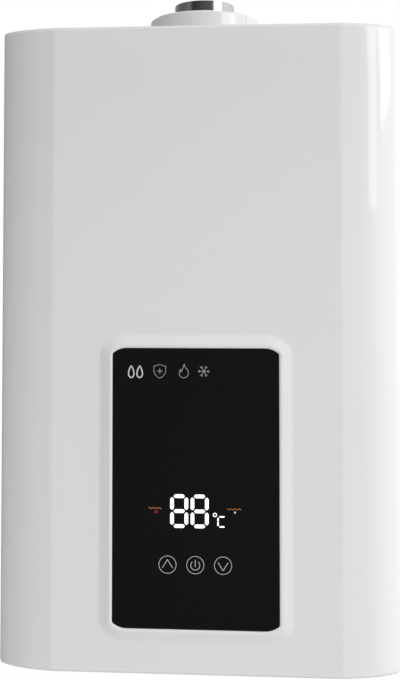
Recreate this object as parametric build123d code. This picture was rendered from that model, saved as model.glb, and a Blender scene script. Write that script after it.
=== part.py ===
from build123d import *
import os
from math import acos, cos, degrees, radians, sin, sqrt

# Wall-hung tankless gas water heater, in millimetres.
# X points right as seen from the front, Y points into the wall, Z points up.
# The origin lies on the wall plane, midway across and midway up the casing.

# Casing
casing_width = 370.0
casing_height = 592.0
casing_depth = 175.0
sheet = 1.0
front_arc_radius = 85.0
front_arc_angle = 37.0
side_bend_radius = 9.0
cover_edge_round = 3.5
cover_rim = 14.0
cover_wall_gap = 3.0
rear_flange_depth = 22.0
panel_flange = 16.0

# Clearances
fit_gap = 0.3
thread_gap = 0.1
bearing_gap = 0.05
overrun = 5.0

# Ears for the wall screws
ear_spacing = 250.0
ear_width = 34.0
ear_round = 8.0
ear_hole_rise = 12.0
ear_margin = 11.0
ear_hole_radius = 3.5

# Screws that hold the cover
screw_radius = 2.0
screw_head_radius = 4.0
screw_head_height = 2.4
screw_tail = 6.0
screw_inset = 8.0
screw_setback = 20.0
notch_gap = 0.5

# Raised frame of the display
bevel_width = 11.05
boss_corner = 22.0
boss_rise = 3.2
boss_shift = 1.8
boss_lip = 1.4

# Display
glass_width = 151.5
glass_height = 252.5
glass_corner = 10.0
glass_thickness = 2.5
glass_recess = 0.6
glass_drop = 127.8
gasket_thickness = 0.5
ledge_width = 6.0
carrier_depth = 15.0
carrier_wall = 2.0
board_margin = 7.0
board_thickness = 1.6
board_post = 4.8
board_post_radius = 3.5
board_screw_inset = 6.0
board_screw_radius = 1.2
board_screw_head_radius = 2.4
board_screw_head_height = 1.6
digit_width = 46.0
digit_height = 38.0
digit_centre_x = -4.3
digit_below = 20.4
key_spacing = 25.2
key_below = 67.8
key_pad_radius = 6.5
lamp_spacing = 71.4
lamp_below = 21.2
lamp_radius = 1.5
lamp_height = 5.0

# Flue
flue_x = 1.0
spigot_radius = 30.0
spigot_wall = 0.8
spigot_step = 1.0
spigot_rise = 42.0
spigot_drop = 28.0
collar_radius = 54.5
collar_rise = 25.0
collar_lip = 1.4
collar_lip_reach = 43.0
collar_groove = 0.6
collar_round = 2.0
collar_flange = 9.0
collar_gap = 0.6
seal_width = 6.0
seal_height = 3.0
collar_screw_radius = 1.6
collar_screw_head_radius = 3.0
collar_screw_head_height = 2.0
collar_screw_tail = 5.0

# Fan
outlet_box_height = 18.0
outlet_box_margin = 2.0
scroll_gap = 8.0
scroll_step = 6.0
tongue_angle = 60.0
throat_height = 70.0
volute_depth = 52.0
inlet_radius = 38.0
impeller_radius = 50.0
impeller_eye_radius = 40.0
impeller_gap = 3.0
impeller_plate = 1.5
blade_count = 28
blade_thickness = 0.8
blade_tilt = 35.0
hub_radius = 8.0
shaft_radius = 3.0
shaft_hole_gap = 3.0
motor_radius = 32.0
motor_length = 36.0
motor_flange = 7.0
motor_flange_thickness = 2.0
motor_cap = 4.0
shaft_end_gap = 1.0

# Fume hood
hood_gap = 2.0
hood_height = 28.0
hood_margin = 8.0
hood_front_slope = 22.0
riser_margin = 8.0
riser_wall_gap = 14.0
riser_depth = 29.0

# Exchanger and burner
core_side_gap = 67.0
core_rear_gap = 29.0
chamber_share = 0.71
fin_height = 44.0
fin_inset = 3.0
fin_thickness = 0.6
fin_pitch = 6.0
fin_margin = 8.0
tube_radius = 8.0
tube_wall = 0.8
tube_gap = 3.0
tube_stub = 3.0
burner_height = 58.0
bar_pitch = 19.5
bar_width = 12.0
bar_lift = 4.0
flame_room = 14.0
port_count = 9
port_width = 2.2
port_length = 8.0
port_depth = 6.0
mouth_radius = 4.5
mouth_depth = 20.0
mouth_lift = 18.0
bracket_spacing = 44.0
bracket_width = 24.0
bracket_height = 30.0
bracket_lift = 10.0

# Copper pipes
pipe_radius = 6.5
pipe_wall = 1.0
pipe_bend = 9.0
pipe_run = 2.5
coil_face_gap = 1.5
coil_lift = 20.0
hot_side_gap = 2.0

# Gas train
manifold_gap = 5.6
manifold_inset = 5.0
manifold_depth = 12.0
manifold_height = 16.0
manifold_bore = 4.0
manifold_end = 8.0
jet_radius = 2.5
jet_length = 5.0
jet_gap = 2.0
jet_bore = 0.8
gas_x = 20.0
gas_rise = 30.0
gas_pipe_radius = 6.0
valve_front_margin = 8.0
valve_width = 84.0
valve_depth = 74.0
valve_height = 40.0
valve_edge_round = 3.0
coil_spacing = 48.0
coil_behind = 29.0
coil_radius = 13.0
coil_height = 36.0
coil_cap = 3.0
plunger_radius = 4.6
plunger_gap = 0.4
plunger_foot_radius = 7.0
plunger_foot_height = 4.0
plunger_chamber_gap = 1.0
plunger_chamber_depth = 16.0
spring_length = 12.0
spring_radius = 3.2
spring_wire = 0.4
spring_pitch = 2.2

# Fittings through the floor
thread_radius = 10.48
thread_length = 16.0
thread_relief = 0.3
fitting_bore = 7.5
flange_radius = 16.0
flange_height = 8.0
nut_radius = 15.6
nut_height = 7.0
neck_radius = 9.0
neck_height = 10.0
floor_hole_gap = 0.6
pipe_setback = 80.0

# Cold inlet with its flow sensor and drain
chamber_radius = 15.0
chamber_bore = 11.0
chamber_height = 46.0
turbine_gap = 1.0
turbine_height = 14.0
turbine_hub_radius = 3.5
turbine_blade = 1.2
turbine_blade_tilt = 30.0
turbine_blades = 6
turbine_lift = 31.0
spindle_radius = 1.0
spider_height = 3.0
spider_ring = 1.2
spider_arm = 1.6
spider_hub_radius = 2.6
spider_end_gap = 0.5
pickup_width = 14.0
pickup_depth = 10.0
pickup_height = 16.0
filter_wall = 0.8
filter_length = 18.0
filter_rim = 1.2
filter_rim_width = 1.9
filter_slots = 8
filter_slot_width = 1.6
filter_slot_length = 11.0
drain_gap = 5.4
drain_arm_radius = 7.0
drain_arm_lift = 20.0
drain_boss_radius = 9.0
drain_boss_drop = 10.0
drain_boss_height = 28.0
drain_bore = 4.0
drain_seal_inset = 1.0
drain_seal_height = 3.0
knob_radius = 13.0
knob_clear = 2.0
knob_floor = 4.0
knob_flutes = 12
knob_flute_radius = 1.4

# Hot outlet
outlet_rise = 34.0
outlet_boss_radius = 5.5
outlet_boss_length = 14.0
outlet_boss_lift = 20.0
probe_hex_radius = 5.5
probe_hex_height = 6.0
probe_cap_radius = 3.0
probe_cap_height = 9.0

# Ignition
electrode_offset = 22.0
ceramic_radius = 4.0
ceramic_inside = 20.0
ceramic_outside = 10.0
electrode_radius = 1.2
electrode_tip = 15.0
module_inset = 22.0
module_width = 50.0
module_height = 40.0
module_depth = 24.0
module_lift = 66.0
module_round = 3.0
lead_radius = 2.0
lead_bend = 8.0
lead_side_gap = 27.0

# Controls
control_x = -80.0
control_width = 90.0
control_height = 100.0
control_depth = 26.0
control_wall = 2.0
control_lift = 2.0
control_post = 6.0
control_post_radius = 3.0
control_post_inset = 8.0
control_board_gap = 1.0
gland_x = -60.0
gland_setback = 115.0
gland_radius = 8.0
gland_drop = 14.0
gland_hex_radius = 10.5
gland_hex_height = 5.0
gland_shank_radius = 6.0
gland_nut_height = 4.0
gland_bore = 3.6

# Air slots in the floor
slot_width = 5.0
slot_length = 32.0
slot_pitch = 9.0
slot_count = 6
slot_group_offset = 82.0
slot_setback = 42.0

# Levels and lines that several pieces share
front_y = -casing_depth
top_z = casing_height / 2
panel_half = casing_width / 2 - sheet - fit_gap
panel_top = top_z - sheet - fit_gap
floor_z = sheet - panel_top

boss_width = glass_width + 2 * (fit_gap + boss_lip + bevel_width)
boss_height = glass_height + 2 * (fit_gap + boss_lip + bevel_width)
boss_drop = glass_drop + boss_shift
glass_front = front_y - boss_rise + glass_recess
glass_back = glass_front + glass_thickness
ledge_back = glass_back + gasket_thickness + sheet
carrier_floor = ledge_back + carrier_depth - carrier_wall
board_front = carrier_floor - board_post - board_thickness
board_width = glass_width - 2 * (ledge_width + board_margin)
board_height = glass_height - 2 * (ledge_width + board_margin)
digit_drop = glass_drop + digit_below
key_drop = glass_drop + key_below
lamp_drop = glass_drop + lamp_below

riser_rear = -sheet - riser_wall_gap
volute_rear = riser_rear - riser_depth
volute_front = volute_rear - volute_depth
flue_y = (volute_rear + volute_front) / 2
scroll_radius = impeller_radius + scroll_gap
outlet_top = top_z - spigot_drop - outlet_box_height
fan_z = outlet_top - throat_height
outlet_left = scroll_radius * cos(radians(tongue_angle))
outlet_right = scroll_radius + 3 * scroll_step
fan_x = flue_x - (outlet_left + outlet_right) / 2

pipe_y = front_y + pipe_setback
valve_bottom = floor_z + flange_height + gas_rise
valve_top = valve_bottom + valve_height
manifold_y = ledge_back + carrier_depth + manifold_gap + manifold_depth / 2
coil_y = manifold_y + coil_behind

hood_top = fan_z - scroll_radius - scroll_step - hood_gap
shell_top = hood_top - hood_height
free_height = shell_top - burner_height - valve_top - coil_height
shell_bottom = shell_top - chamber_share * free_height
burner_bottom = shell_bottom - burner_height
manifold_z = burner_bottom + mouth_lift
core_front = manifold_y + manifold_depth / 2 + jet_length + jet_gap
core_rear = -sheet - core_rear_gap
core_depth = core_rear - core_front
core_width = casing_width - 2 * core_side_gap
core_y = (core_front + core_rear) / 2
tube_z = shell_top - fin_inset - fin_height / 2
tube_end = core_width / 2 + tube_stub
tube_pitch = 2 * tube_radius + tube_gap
tube_passes = 2 * int((core_depth - 2 * sheet - tube_pitch) / (2 * tube_pitch)) + 1
pass_y = [core_y + tube_pitch * (i - (tube_passes - 1) / 2) for i in range(tube_passes)]
fin_count = int((core_width - 2 * sheet - 2 * fin_margin) / fin_pitch)
bar_count = int((core_width - 2 * sheet - bar_width) / bar_pitch)

cold_x = tube_end + pipe_bend + pipe_run
cold_top = floor_z + flange_height + chamber_height + neck_height
hot_x = -(cold_x + 2 * pipe_radius + hot_side_gap)
hot_top = floor_z + flange_height + outlet_rise
drain_y = pipe_y + nut_radius + knob_radius + drain_gap
nipple_end = -panel_top - nut_height - thread_length
turbine_radius = chamber_bore - turbine_gap

electrode_y = core_y + electrode_offset
electrode_z = shell_bottom - flame_room / 2
module_x = core_width / 2 - module_inset
module_top = floor_z + module_lift + module_height
control_low = panel_flange - panel_top + control_lift
control_high = control_low + control_height


def span(x0, x1, y0, y1, z0, z1):
    """Block between two corners."""
    block = Box(x1 - x0, y1 - y0, z1 - z0)
    return Pos((x0 + x1) / 2, (y0 + y1) / 2, (z0 + z1) / 2) * block


def post(radius, z0, z1, x, y):
    """Upright cylinder between two heights."""
    return Pos(x, y, (z0 + z1) / 2) * Cylinder(radius, z1 - z0)


def ring(outer, inner, z0, z1, x, y):
    """Upright tube between two heights."""
    return post(outer, z0, z1, x, y) - post(inner, z0 - overrun, z1 + overrun, x, y)


def rod_y(radius, y0, y1, x, z):
    """Cylinder along Y between two depths."""
    return Pos(x, (y0 + y1) / 2, z) * Rot(90, 0, 0) * Cylinder(radius, y1 - y0)


def rod_x(radius, x0, x1, y, z):
    """Cylinder along X between two places across."""
    return Pos((x0 + x1) / 2, y, z) * Rot(0, 90, 0) * Cylinder(radius, x1 - x0)


def hexagon(radius, z0, z1, x, y):
    """Upright six-sided prism between two heights."""
    return Pos(x, y, z0) * extrude(RegularPolygon(radius, 6), z1 - z0)


def facing(y, x=0, z=0):
    """Plane parallel to the front, seen from the front."""
    return Plane(origin=(x, y, z), x_dir=(1, 0, 0), z_dir=(0, -1, 0))


def rounded_plate(width, height, corner, y_front, y_rear, z):
    """Plate parallel to the front with round corners."""
    return extrude(facing(y_rear, 0, z) * RectangleRounded(width, height, corner), y_rear - y_front)


def pipe(path, radius, wall):
    """Round tube along a path."""
    section = Plane(path @ 0, z_dir=path % 0) * (Circle(radius) - Circle(radius - wall))
    return sweep(section, path)


def casing_plan(inset, rear):
    """Plan of the casing set in all round: a flat front, a wide arc and a tight bend to each side."""
    bend = radians(front_arc_angle)
    reach = front_arc_radius - side_bend_radius
    arc_x = casing_width / 2 - side_bend_radius - reach * sin(bend)
    arc_y = front_y + front_arc_radius
    bend_x = arc_x + reach * sin(bend)
    bend_y = arc_y - reach * cos(bend)
    side = casing_width / 2 - inset
    front = front_y + inset
    wide = front_arc_radius - inset
    tight = side_bend_radius - inset
    turn = 90 - front_arc_angle
    edges = [
        Line((-arc_x, front), (arc_x, front)),
        CenterArc((arc_x, arc_y), wide, -90, front_arc_angle),
        CenterArc((bend_x, bend_y), tight, -turn, turn),
        Line((side, bend_y), (side, rear)),
        Line((side, rear), (-side, rear)),
        Line((-side, rear), (-side, bend_y)),
        CenterArc((-bend_x, bend_y), tight, 180, turn),
        CenterArc((-arc_x, arc_y), wide, 180 + turn, front_arc_angle),
    ]
    return make_face(Curve() + edges)


def casing_block(inset, rear, round_radius):
    """Solid of the casing set in all round, with its top and bottom edges rounded."""
    half = top_z - inset
    block = Pos(0, 0, -half) * extrude(casing_plan(inset, rear), 2 * half)
    ends = block.faces().sort_by(Axis.Z)
    rim = ends[0].edges() + ends[-1].edges()
    return fillet([e for e in rim if e.center().Y < rear - fit_gap], round_radius)


def display_boss(shift):
    """Raised frame with sloping sides, moved back by a shift."""
    lip = glass_width + 2 * fit_gap + 2 * boss_lip
    lip_height = glass_height + 2 * fit_gap + 2 * boss_lip
    lip_corner = glass_corner + fit_gap + boss_lip
    foot = facing(front_y + shift, 0, -boss_drop) * RectangleRounded(boss_width, boss_height, boss_corner)
    crown_plane = facing(front_y + shift - boss_rise, 0, -glass_drop)
    crown = crown_plane * RectangleRounded(lip, lip_height, lip_corner)
    return loft([foot, crown])


def display_pocket(grow, y_front, y_rear):
    """Block with the outline of the glass, grown all round."""
    corner = glass_corner + grow
    return rounded_plate(glass_width + 2 * grow, glass_height + 2 * grow, corner, y_front, y_rear, -glass_drop)


def cover_screw_places():
    """Places across for the screws of the cover."""
    reach = casing_width / 2 - screw_inset
    return [-reach, reach]


def front_cover():
    """Pressed cover: wide curved sides, rims at top and bottom, the raised frame and its glass seat."""
    crown = front_y - boss_rise
    outer = casing_block(0, -cover_wall_gap, cover_edge_round) + display_boss(0)
    inner = casing_block(sheet, overrun, cover_edge_round - sheet) + display_boss(sheet)
    seat = display_pocket(fit_gap + sheet, crown - overrun, ledge_back)
    cover = outer - (inner - seat)
    cover -= display_pocket(fit_gap, crown - overrun, ledge_back - sheet)
    cover -= display_pocket(-ledge_width, crown - overrun, ledge_back + overrun)
    mouth = offset(casing_plan(0, overrun + cover_rim), amount=-cover_rim)
    cover -= Pos(0, 0, -top_z - overrun) * extrude(mouth, 2 * (top_z + overrun))
    notch = screw_radius + notch_gap
    for x in cover_screw_places():
        slot = span(x - notch, x + notch, -screw_setback, overrun, -top_z - overrun, top_z + overrun)
        slot += post(notch, -top_z - overrun, top_z + overrun, x, -screw_setback)
        cover -= slot - span(x - 2 * notch, x + 2 * notch, front_y, overrun, -panel_top, panel_top)
    return cover


def rear_panel():
    """Back plate with bent side flanges and four ears for the wall screws."""
    panel = span(-panel_half, panel_half, -sheet, 0, -panel_top, panel_top)
    flange_half = panel_top - cover_edge_round
    for side in (-1, 1):
        x0, x1 = sorted((side * panel_half, side * (panel_half - sheet)))
        panel += span(x0, x1, -rear_flange_depth, 0, -flange_half, flange_half)
    for side in (-1, 1):
        for end in (-1, 1):
            hole_z = end * (top_z + ear_hole_rise)
            tip = end * (top_z + ear_hole_rise + ear_margin)
            root = end * (panel_top - ear_width)
            outline = RectangleRounded(ear_width, abs(tip - root), ear_round)
            panel += extrude(facing(0, side * ear_spacing / 2, (tip + root) / 2) * outline, sheet)
            panel -= rod_y(ear_hole_radius, -overrun, overrun, side * ear_spacing / 2, hole_z)
    return panel


def end_panel(end):
    """Flat panel at the top (1) or bottom (-1), with a flange bent along the rear panel."""
    plate = extrude(casing_plan(cover_edge_round + fit_gap, -sheet), sheet)
    inside = casing_width / 2 - cover_edge_round - fit_gap
    z0, z1 = sorted((end * (panel_top - panel_flange), end * panel_top))
    panel = Pos(0, 0, min(end * panel_top, end * (panel_top - sheet))) * plate
    panel += span(-inside, inside, -2 * sheet, -sheet, z0, z1)
    for x in cover_screw_places():
        panel -= post(screw_radius + thread_gap, z0 - overrun, z1 + overrun, x, -screw_setback)
    return panel


def collar_screw_places():
    """Four places on the flange of the collar."""
    reach = (collar_radius + collar_flange / 2) / sqrt(2)
    return [(flue_x + sx * reach, flue_y + sy * reach) for sx in (-1, 1) for sy in (-1, 1)]


def top_panel():
    """Top panel with the hole for the flue."""
    panel = end_panel(1)
    panel -= post(spigot_radius + collar_gap, panel_top - overrun, panel_top + overrun, flue_x, flue_y)
    for x, y in collar_screw_places():
        panel -= post(collar_screw_radius + thread_gap, panel_top - overrun, panel_top + overrun, x, y)
    return panel


def bottom_panel():
    """Floor with holes for the fittings, the drain and the gland, and two groups of air slots."""
    panel = end_panel(-1)
    low = -panel_top - overrun
    high = floor_z + overrun
    for x, y in fitting_places():
        panel -= post(thread_radius + floor_hole_gap, low, high, x, y)
    panel -= post(drain_boss_radius + floor_hole_gap, low, high, cold_x, drain_y)
    panel -= post(gland_shank_radius + fit_gap, low, high, gland_x, front_y + gland_setback)
    y = front_y + slot_setback
    for side in (-1, 1):
        for i in range(slot_count):
            x = side * slot_group_offset + slot_pitch * (i - (slot_count - 1) / 2)
            slot = Pos(x, y, low) * extrude(SlotOverall(slot_length, slot_width, rotation=90), high - low)
            panel -= slot
    return panel


def cover_screws():
    """Four screws that hold the rims of the cover, two at the top and two at the bottom."""
    seat = top_z + fit_gap
    tail = panel_top - sheet - screw_tail
    screws = []
    for x in cover_screw_places():
        for end in (-1, 1):
            z0, z1 = sorted((end * seat, end * (seat + screw_head_height)))
            t0, t1 = sorted((end * seat, end * tail))
            head = post(screw_head_radius, z0, z1, x, -screw_setback)
            screws.append(head + post(screw_radius, t0, t1, x, -screw_setback))
    return screws


def display_glass():
    """Black glass panel."""
    return display_pocket(0, glass_front, glass_back)


def panel_gasket():
    """Thin frame of adhesive foam between the glass and its seat."""
    frame = display_pocket(0, glass_back, ledge_back - sheet)
    return frame - display_pocket(-ledge_width, glass_back - overrun, ledge_back + overrun)


def board_screw_places():
    """Four places near the corners of the display board."""
    reach_x = board_width / 2 - board_screw_inset
    reach_z = board_height / 2 - board_screw_inset
    return [(sx * reach_x, sz * reach_z - glass_drop) for sx in (-1, 1) for sz in (-1, 1)]


def display_carrier():
    """Tray behind the glass that carries the display board."""
    rear = ledge_back + carrier_depth
    tray = display_pocket(0, ledge_back, ledge_back + carrier_wall)
    tray += display_pocket(carrier_wall - ledge_width, ledge_back, rear)
    tray -= display_pocket(-ledge_width, ledge_back - overrun, carrier_floor)
    for x, z in board_screw_places():
        tray += rod_y(board_post_radius, carrier_floor - board_post, carrier_floor, x, z)
        tray -= rod_y(board_screw_radius + thread_gap, carrier_floor - 2 * board_post, carrier_floor, x, z)
    return tray


def display_board():
    """Circuit board of the display."""
    z0 = -glass_drop - board_height / 2
    z1 = -glass_drop + board_height / 2
    board = span(-board_width / 2, board_width / 2, board_front, board_front + board_thickness, z0, z1)
    for x, z in board_screw_places():
        board -= rod_y(board_screw_radius + thread_gap, board_front - overrun, board_front + overrun, x, z)
    return board


def board_screws():
    """Four screws of the display board."""
    screws = []
    for x, z in board_screw_places():
        head = rod_y(board_screw_head_radius, board_front - board_screw_head_height, board_front, x, z)
        screws.append(head + rod_y(board_screw_radius, board_front, carrier_floor - fit_gap, x, z))
    return screws


def digit_module():
    """Light block behind the two digits."""
    x0 = digit_centre_x - digit_width / 2
    x1 = digit_centre_x + digit_width / 2
    z0 = -digit_drop - digit_height / 2
    z1 = -digit_drop + digit_height / 2
    return span(x0, x1, glass_back + fit_gap, board_front, z0, z1)


def touch_pads():
    """Three sensing pads pressed between the board and the glass."""
    return [rod_y(key_pad_radius, glass_back, board_front, i * key_spacing, -key_drop) for i in (-1, 0, 1)]


def status_lamps():
    """Two small lamps beside the digits."""
    lamps = []
    for side in (-1, 1):
        lamps.append(rod_y(lamp_radius, board_front - lamp_height, board_front, side * lamp_spacing / 2, -lamp_drop))
    return lamps


def flue_collar():
    """Short white cap around the spigot: a flange, a top that is higher at front and rear, and four grooves."""
    low = top_z + collar_rise
    top = low + collar_lip
    cap = post(collar_radius, panel_top, top, flue_x, flue_y)
    cap = fillet(cap.edges().group_by(Axis.Z)[-1], collar_round)
    hollow = post(collar_radius - sheet, panel_top - overrun, low - sheet, flue_x, flue_y)
    hollow = fillet(hollow.edges().group_by(Axis.Z)[-1], collar_round - sheet)
    cap += ring(collar_radius + collar_flange, collar_radius - sheet, panel_top, panel_top + sheet, flue_x, flue_y)
    cap -= hollow
    cap -= post(spigot_radius + collar_gap, panel_top, top + overrun, flue_x, flue_y)
    groove_y = sqrt(collar_radius**2 - collar_lip_reach**2)
    past = collar_radius + overrun
    for side in (-1, 1):
        edge = flue_x + side * collar_lip_reach
        x0, x1 = sorted((edge, flue_x + side * past))
        cap -= span(x0, x1, flue_y - past, flue_y + past, low, top + overrun)
        for end in (-1, 1):
            cap -= post(collar_groove, panel_top + sheet, top + overrun, edge, flue_y + end * groove_y)
    for x, y in collar_screw_places():
        cap -= post(collar_screw_radius + thread_gap, panel_top - overrun, panel_top + overrun, x, y)
    return cap


def collar_screws():
    """Four screws in the flange of the collar."""
    seat = panel_top + sheet
    tail = panel_top - sheet - collar_screw_tail
    screws = []
    for x, y in collar_screw_places():
        head = post(collar_screw_head_radius, seat, seat + collar_screw_head_height, x, y)
        screws.append(head + post(collar_screw_radius, tail, seat, x, y))
    return screws


def flue_spigot():
    """Stainless tube with a widened mouth that takes the flue pipe."""
    neck = spigot_radius - spigot_step
    shoulder = top_z + collar_rise + collar_lip
    top = top_z + spigot_rise
    tube = ring(spigot_radius, spigot_radius - spigot_wall, shoulder, top, flue_x, flue_y)
    tube += ring(spigot_radius, neck - spigot_wall, shoulder, shoulder + spigot_wall, flue_x, flue_y)
    return tube + ring(neck, neck - spigot_wall, top_z - spigot_drop, shoulder, flue_x, flue_y)


def flue_seal():
    """Rubber ring around the spigot on the top panel."""
    inner = spigot_radius - spigot_step + thread_gap
    return ring(inner + seal_width, inner, panel_top, panel_top + seal_height, flue_x, flue_y)


def outlet_box():
    """Sheet box that leads the square fan outlet into the round spigot."""
    half = spigot_radius + outlet_box_margin
    top = top_z - spigot_drop
    box = span(flue_x - half, flue_x + half, flue_y - half, flue_y + half, outlet_top, top)
    inside = half - sheet
    hollow_y0, hollow_y1 = flue_y - inside, flue_y + inside
    box -= span(flue_x - inside, flue_x + inside, hollow_y0, hollow_y1, outlet_top + sheet, top - sheet)
    neck = spigot_radius - spigot_step
    box -= post(neck - spigot_wall, top - sheet, top + overrun, flue_x, flue_y)
    width = (outlet_right - outlet_left) / 2 - sheet
    depth = volute_depth / 2 - sheet
    low = outlet_top - overrun
    box -= span(flue_x - width, flue_x + width, flue_y - depth, flue_y + depth, low, outlet_top + sheet)
    return box


def volute_plan(inset, throat):
    """Outline of the scroll about the fan axis: three arcs that grow in turn, and a straight outlet."""
    first = scroll_radius - inset
    second = first + scroll_step
    third = second + scroll_step
    left = outlet_left + inset
    right = scroll_step + third
    tongue_z = sqrt(first**2 - left**2)
    start = degrees(acos(left / first))
    edges = [
        CenterArc((0, 0), first, start, 180 - start),
        CenterArc((scroll_step, 0), second, 180, 90),
        CenterArc((scroll_step, scroll_step), third, 270, 90),
        Line((right, scroll_step), (right, throat)),
        Line((right, throat), (left, throat)),
        Line((left, throat), (left, tongue_z)),
    ]
    return make_face(Curve() + edges)


def fan_volute():
    """Scroll housing with the inlet in its rear wall and the outlet at the top."""
    outer = extrude(facing(volute_rear, fan_x, fan_z) * volute_plan(0, throat_height), volute_depth - sheet)
    cavity_plan = facing(volute_rear - sheet, fan_x, fan_z) * volute_plan(sheet, throat_height + overrun)
    housing = outer - extrude(cavity_plan, volute_depth)
    return housing - rod_y(inlet_radius, volute_rear - overrun, volute_rear + overrun, fan_x, fan_z)


def volute_plate():
    """Front wall of the scroll, which carries the motor."""
    plate = extrude(facing(volute_front + sheet, fan_x, fan_z) * volute_plan(0, throat_height), sheet)
    hole = shaft_radius + shaft_hole_gap
    return plate - rod_y(hole, volute_front - overrun, volute_front + overrun, fan_x, fan_z)


def fan_impeller():
    """Wheel with tilted blades between a back plate and a ring."""
    front = volute_front + sheet + impeller_gap
    rear = volute_rear - sheet - impeller_gap
    middle = (front + rear) / 2
    blade_radius = (impeller_radius + impeller_eye_radius) / 2
    blade_chord = impeller_radius - impeller_eye_radius
    wheel = rod_y(impeller_radius, front, front + impeller_plate, fan_x, fan_z)
    rim = rod_y(impeller_radius, rear - impeller_plate, rear, fan_x, fan_z)
    wheel += rim - rod_y(impeller_eye_radius, rear - overrun, rear + overrun, fan_x, fan_z)
    blade = Pos(blade_radius, 0, 0) * Rot(0, blade_tilt, 0) * Box(blade_chord, rear - front, blade_thickness)
    blades = []
    for i in range(blade_count):
        blades.append(Pos(fan_x, middle, fan_z) * Rot(0, i * 360 / blade_count, 0) * blade)
    wheel += blades
    wheel += rod_y(hub_radius, front, middle, fan_x, fan_z)
    return wheel - rod_y(shaft_radius + thread_gap, front - overrun, rear + overrun, fan_x, fan_z)


def motor_shaft():
    """Shaft of the fan motor with the wheel on its end."""
    front = volute_front - motor_length + motor_cap + shaft_end_gap
    return rod_y(shaft_radius, front, flue_y, fan_x, fan_z)


def fan_motor():
    """Motor on the front wall of the scroll."""
    front = volute_front - motor_length
    motor = rod_y(motor_radius, front, volute_front, fan_x, fan_z)
    motor = fillet(motor.edges().group_by(Axis.Y)[0], motor_cap)
    flange = motor_radius + motor_flange
    motor += rod_y(flange, volute_front - motor_flange_thickness, volute_front, fan_x, fan_z)
    return motor - rod_y(shaft_radius + bearing_gap, front + motor_cap, volute_front + overrun, fan_x, fan_z)


def hood_loft(inset):
    """Sloping body of the hood set in by a wall."""
    low = Plane.XY.offset(shell_top)
    high = Plane.XY.offset(hood_top - inset)
    top_front = core_front + hood_front_slope
    top_depth = riser_rear - top_front
    foot = low * Pos(0, core_y) * Rectangle(core_width - 2 * inset, core_depth - 2 * inset)
    middle = (top_front + riser_rear) / 2
    top_width = 2 * (abs(fan_x) + inlet_radius + riser_margin + hood_margin)
    crown = high * Pos(0, middle) * Rectangle(top_width - 2 * inset, top_depth - 2 * inset)
    return loft([foot, crown])


def fume_hood():
    """Hood over the exchanger with a flat riser up to the inlet of the fan."""
    half = inlet_radius + riser_margin
    top = fan_z + half
    left, right = fan_x - half, fan_x + half
    hood = hood_loft(0) + span(left, right, volute_rear, riser_rear, hood_top - sheet, top)
    hollow = hood_loft(sheet)
    hollow += span(left + sheet, right - sheet, volute_rear + sheet, riser_rear - sheet, hood_top - 2 * sheet, top - sheet)
    hood -= hollow
    return hood - rod_y(inlet_radius, volute_rear - overrun, volute_rear + 2 * sheet, fan_x, fan_z)


def exchanger_shell():
    """Copper jacket around the fins and the combustion chamber."""
    half_x, half_y = core_width / 2, core_depth / 2
    shell = span(-half_x, half_x, core_front, core_rear, shell_bottom, shell_top)
    low, high = shell_bottom - overrun, shell_top + overrun
    shell -= span(sheet - half_x, half_x - sheet, core_front + sheet, core_rear - sheet, low, high)
    for y in pass_y:
        shell -= rod_x(tube_radius + thread_gap, -half_x - overrun, half_x + overrun, y, tube_z)
    return shell


def exchanger_fins():
    """Stack of thin fins that the tube passes through."""
    fin = span(-fin_thickness / 2, fin_thickness / 2, core_front + sheet, core_rear - sheet, -fin_height / 2, fin_height / 2)
    for y in pass_y:
        fin -= rod_x(tube_radius + thread_gap, -overrun, overrun, y, 0)
    return [Pos(fin_pitch * (i - (fin_count - 1) / 2), 0, tube_z) * fin for i in range(fin_count)]


def exchanger_tube():
    """Tube that runs across the fins five times, with round bends outside the shell."""
    edges = []
    for i in range(tube_passes):
        side = 1 if i % 2 == 0 else -1
        edges.append(Line((side * tube_end, pass_y[i], tube_z), (-side * tube_end, pass_y[i], tube_z)))
        if i + 1 < tube_passes:
            centre = (-side * tube_end, (pass_y[i] + pass_y[i + 1]) / 2, tube_z)
            edges.append(CenterArc(centre, tube_pitch / 2, -90, -180 if side > 0 else 180))
    return pipe(Wire(edges), tube_radius, tube_wall)


def coil_pipe():
    """Cold pipe: up the right side, once around the combustion chamber, then into the fins."""
    front = core_front - coil_face_gap - pipe_radius
    rear = core_rear + coil_face_gap + pipe_radius
    low = shell_bottom + coil_lift
    route = [
        (cold_x, pipe_y, cold_top),
        (cold_x, pipe_y, low),
        (cold_x, rear, low),
        (-cold_x, rear, low),
        (-cold_x, front, low),
        (cold_x, front, low),
        (cold_x, pass_y[0], low),
        (cold_x, pass_y[0], tube_z),
        (tube_end, pass_y[0], tube_z),
    ]
    return pipe(FilletPolyline(*route, radius=pipe_bend), pipe_radius, pipe_wall)


def hot_pipe():
    """Hot pipe: out of the fins and down the left side."""
    y = pass_y[-1]
    route = [(-tube_end, y, tube_z), (hot_x, y, tube_z), (hot_x, y, hot_top)]
    return pipe(FilletPolyline(*route, radius=pipe_bend), pipe_radius, pipe_wall)


def bar_places():
    """Places across of the burner bars."""
    return [bar_pitch * (i - (bar_count - 1) / 2) for i in range(bar_count)]


def electrode_holes():
    """Drill for the electrodes, through both sides of the burner box."""
    reach = core_width / 2 + overrun
    return rod_x(ceramic_radius + thread_gap, -reach, reach, electrode_y, electrode_z)


def burner_box():
    """Frame of the burner, open above and below, with a mouth for each jet."""
    half = core_width / 2
    box = span(-half, half, core_front, core_rear, burner_bottom, shell_bottom)
    low, high = burner_bottom - overrun, shell_bottom + overrun
    box -= span(sheet - half, half - sheet, core_front + sheet, core_rear - sheet, low, high)
    for x in bar_places():
        box -= rod_y(mouth_radius, core_front - overrun, core_front + overrun, x, manifold_z)
    return box - electrode_holes()


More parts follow.
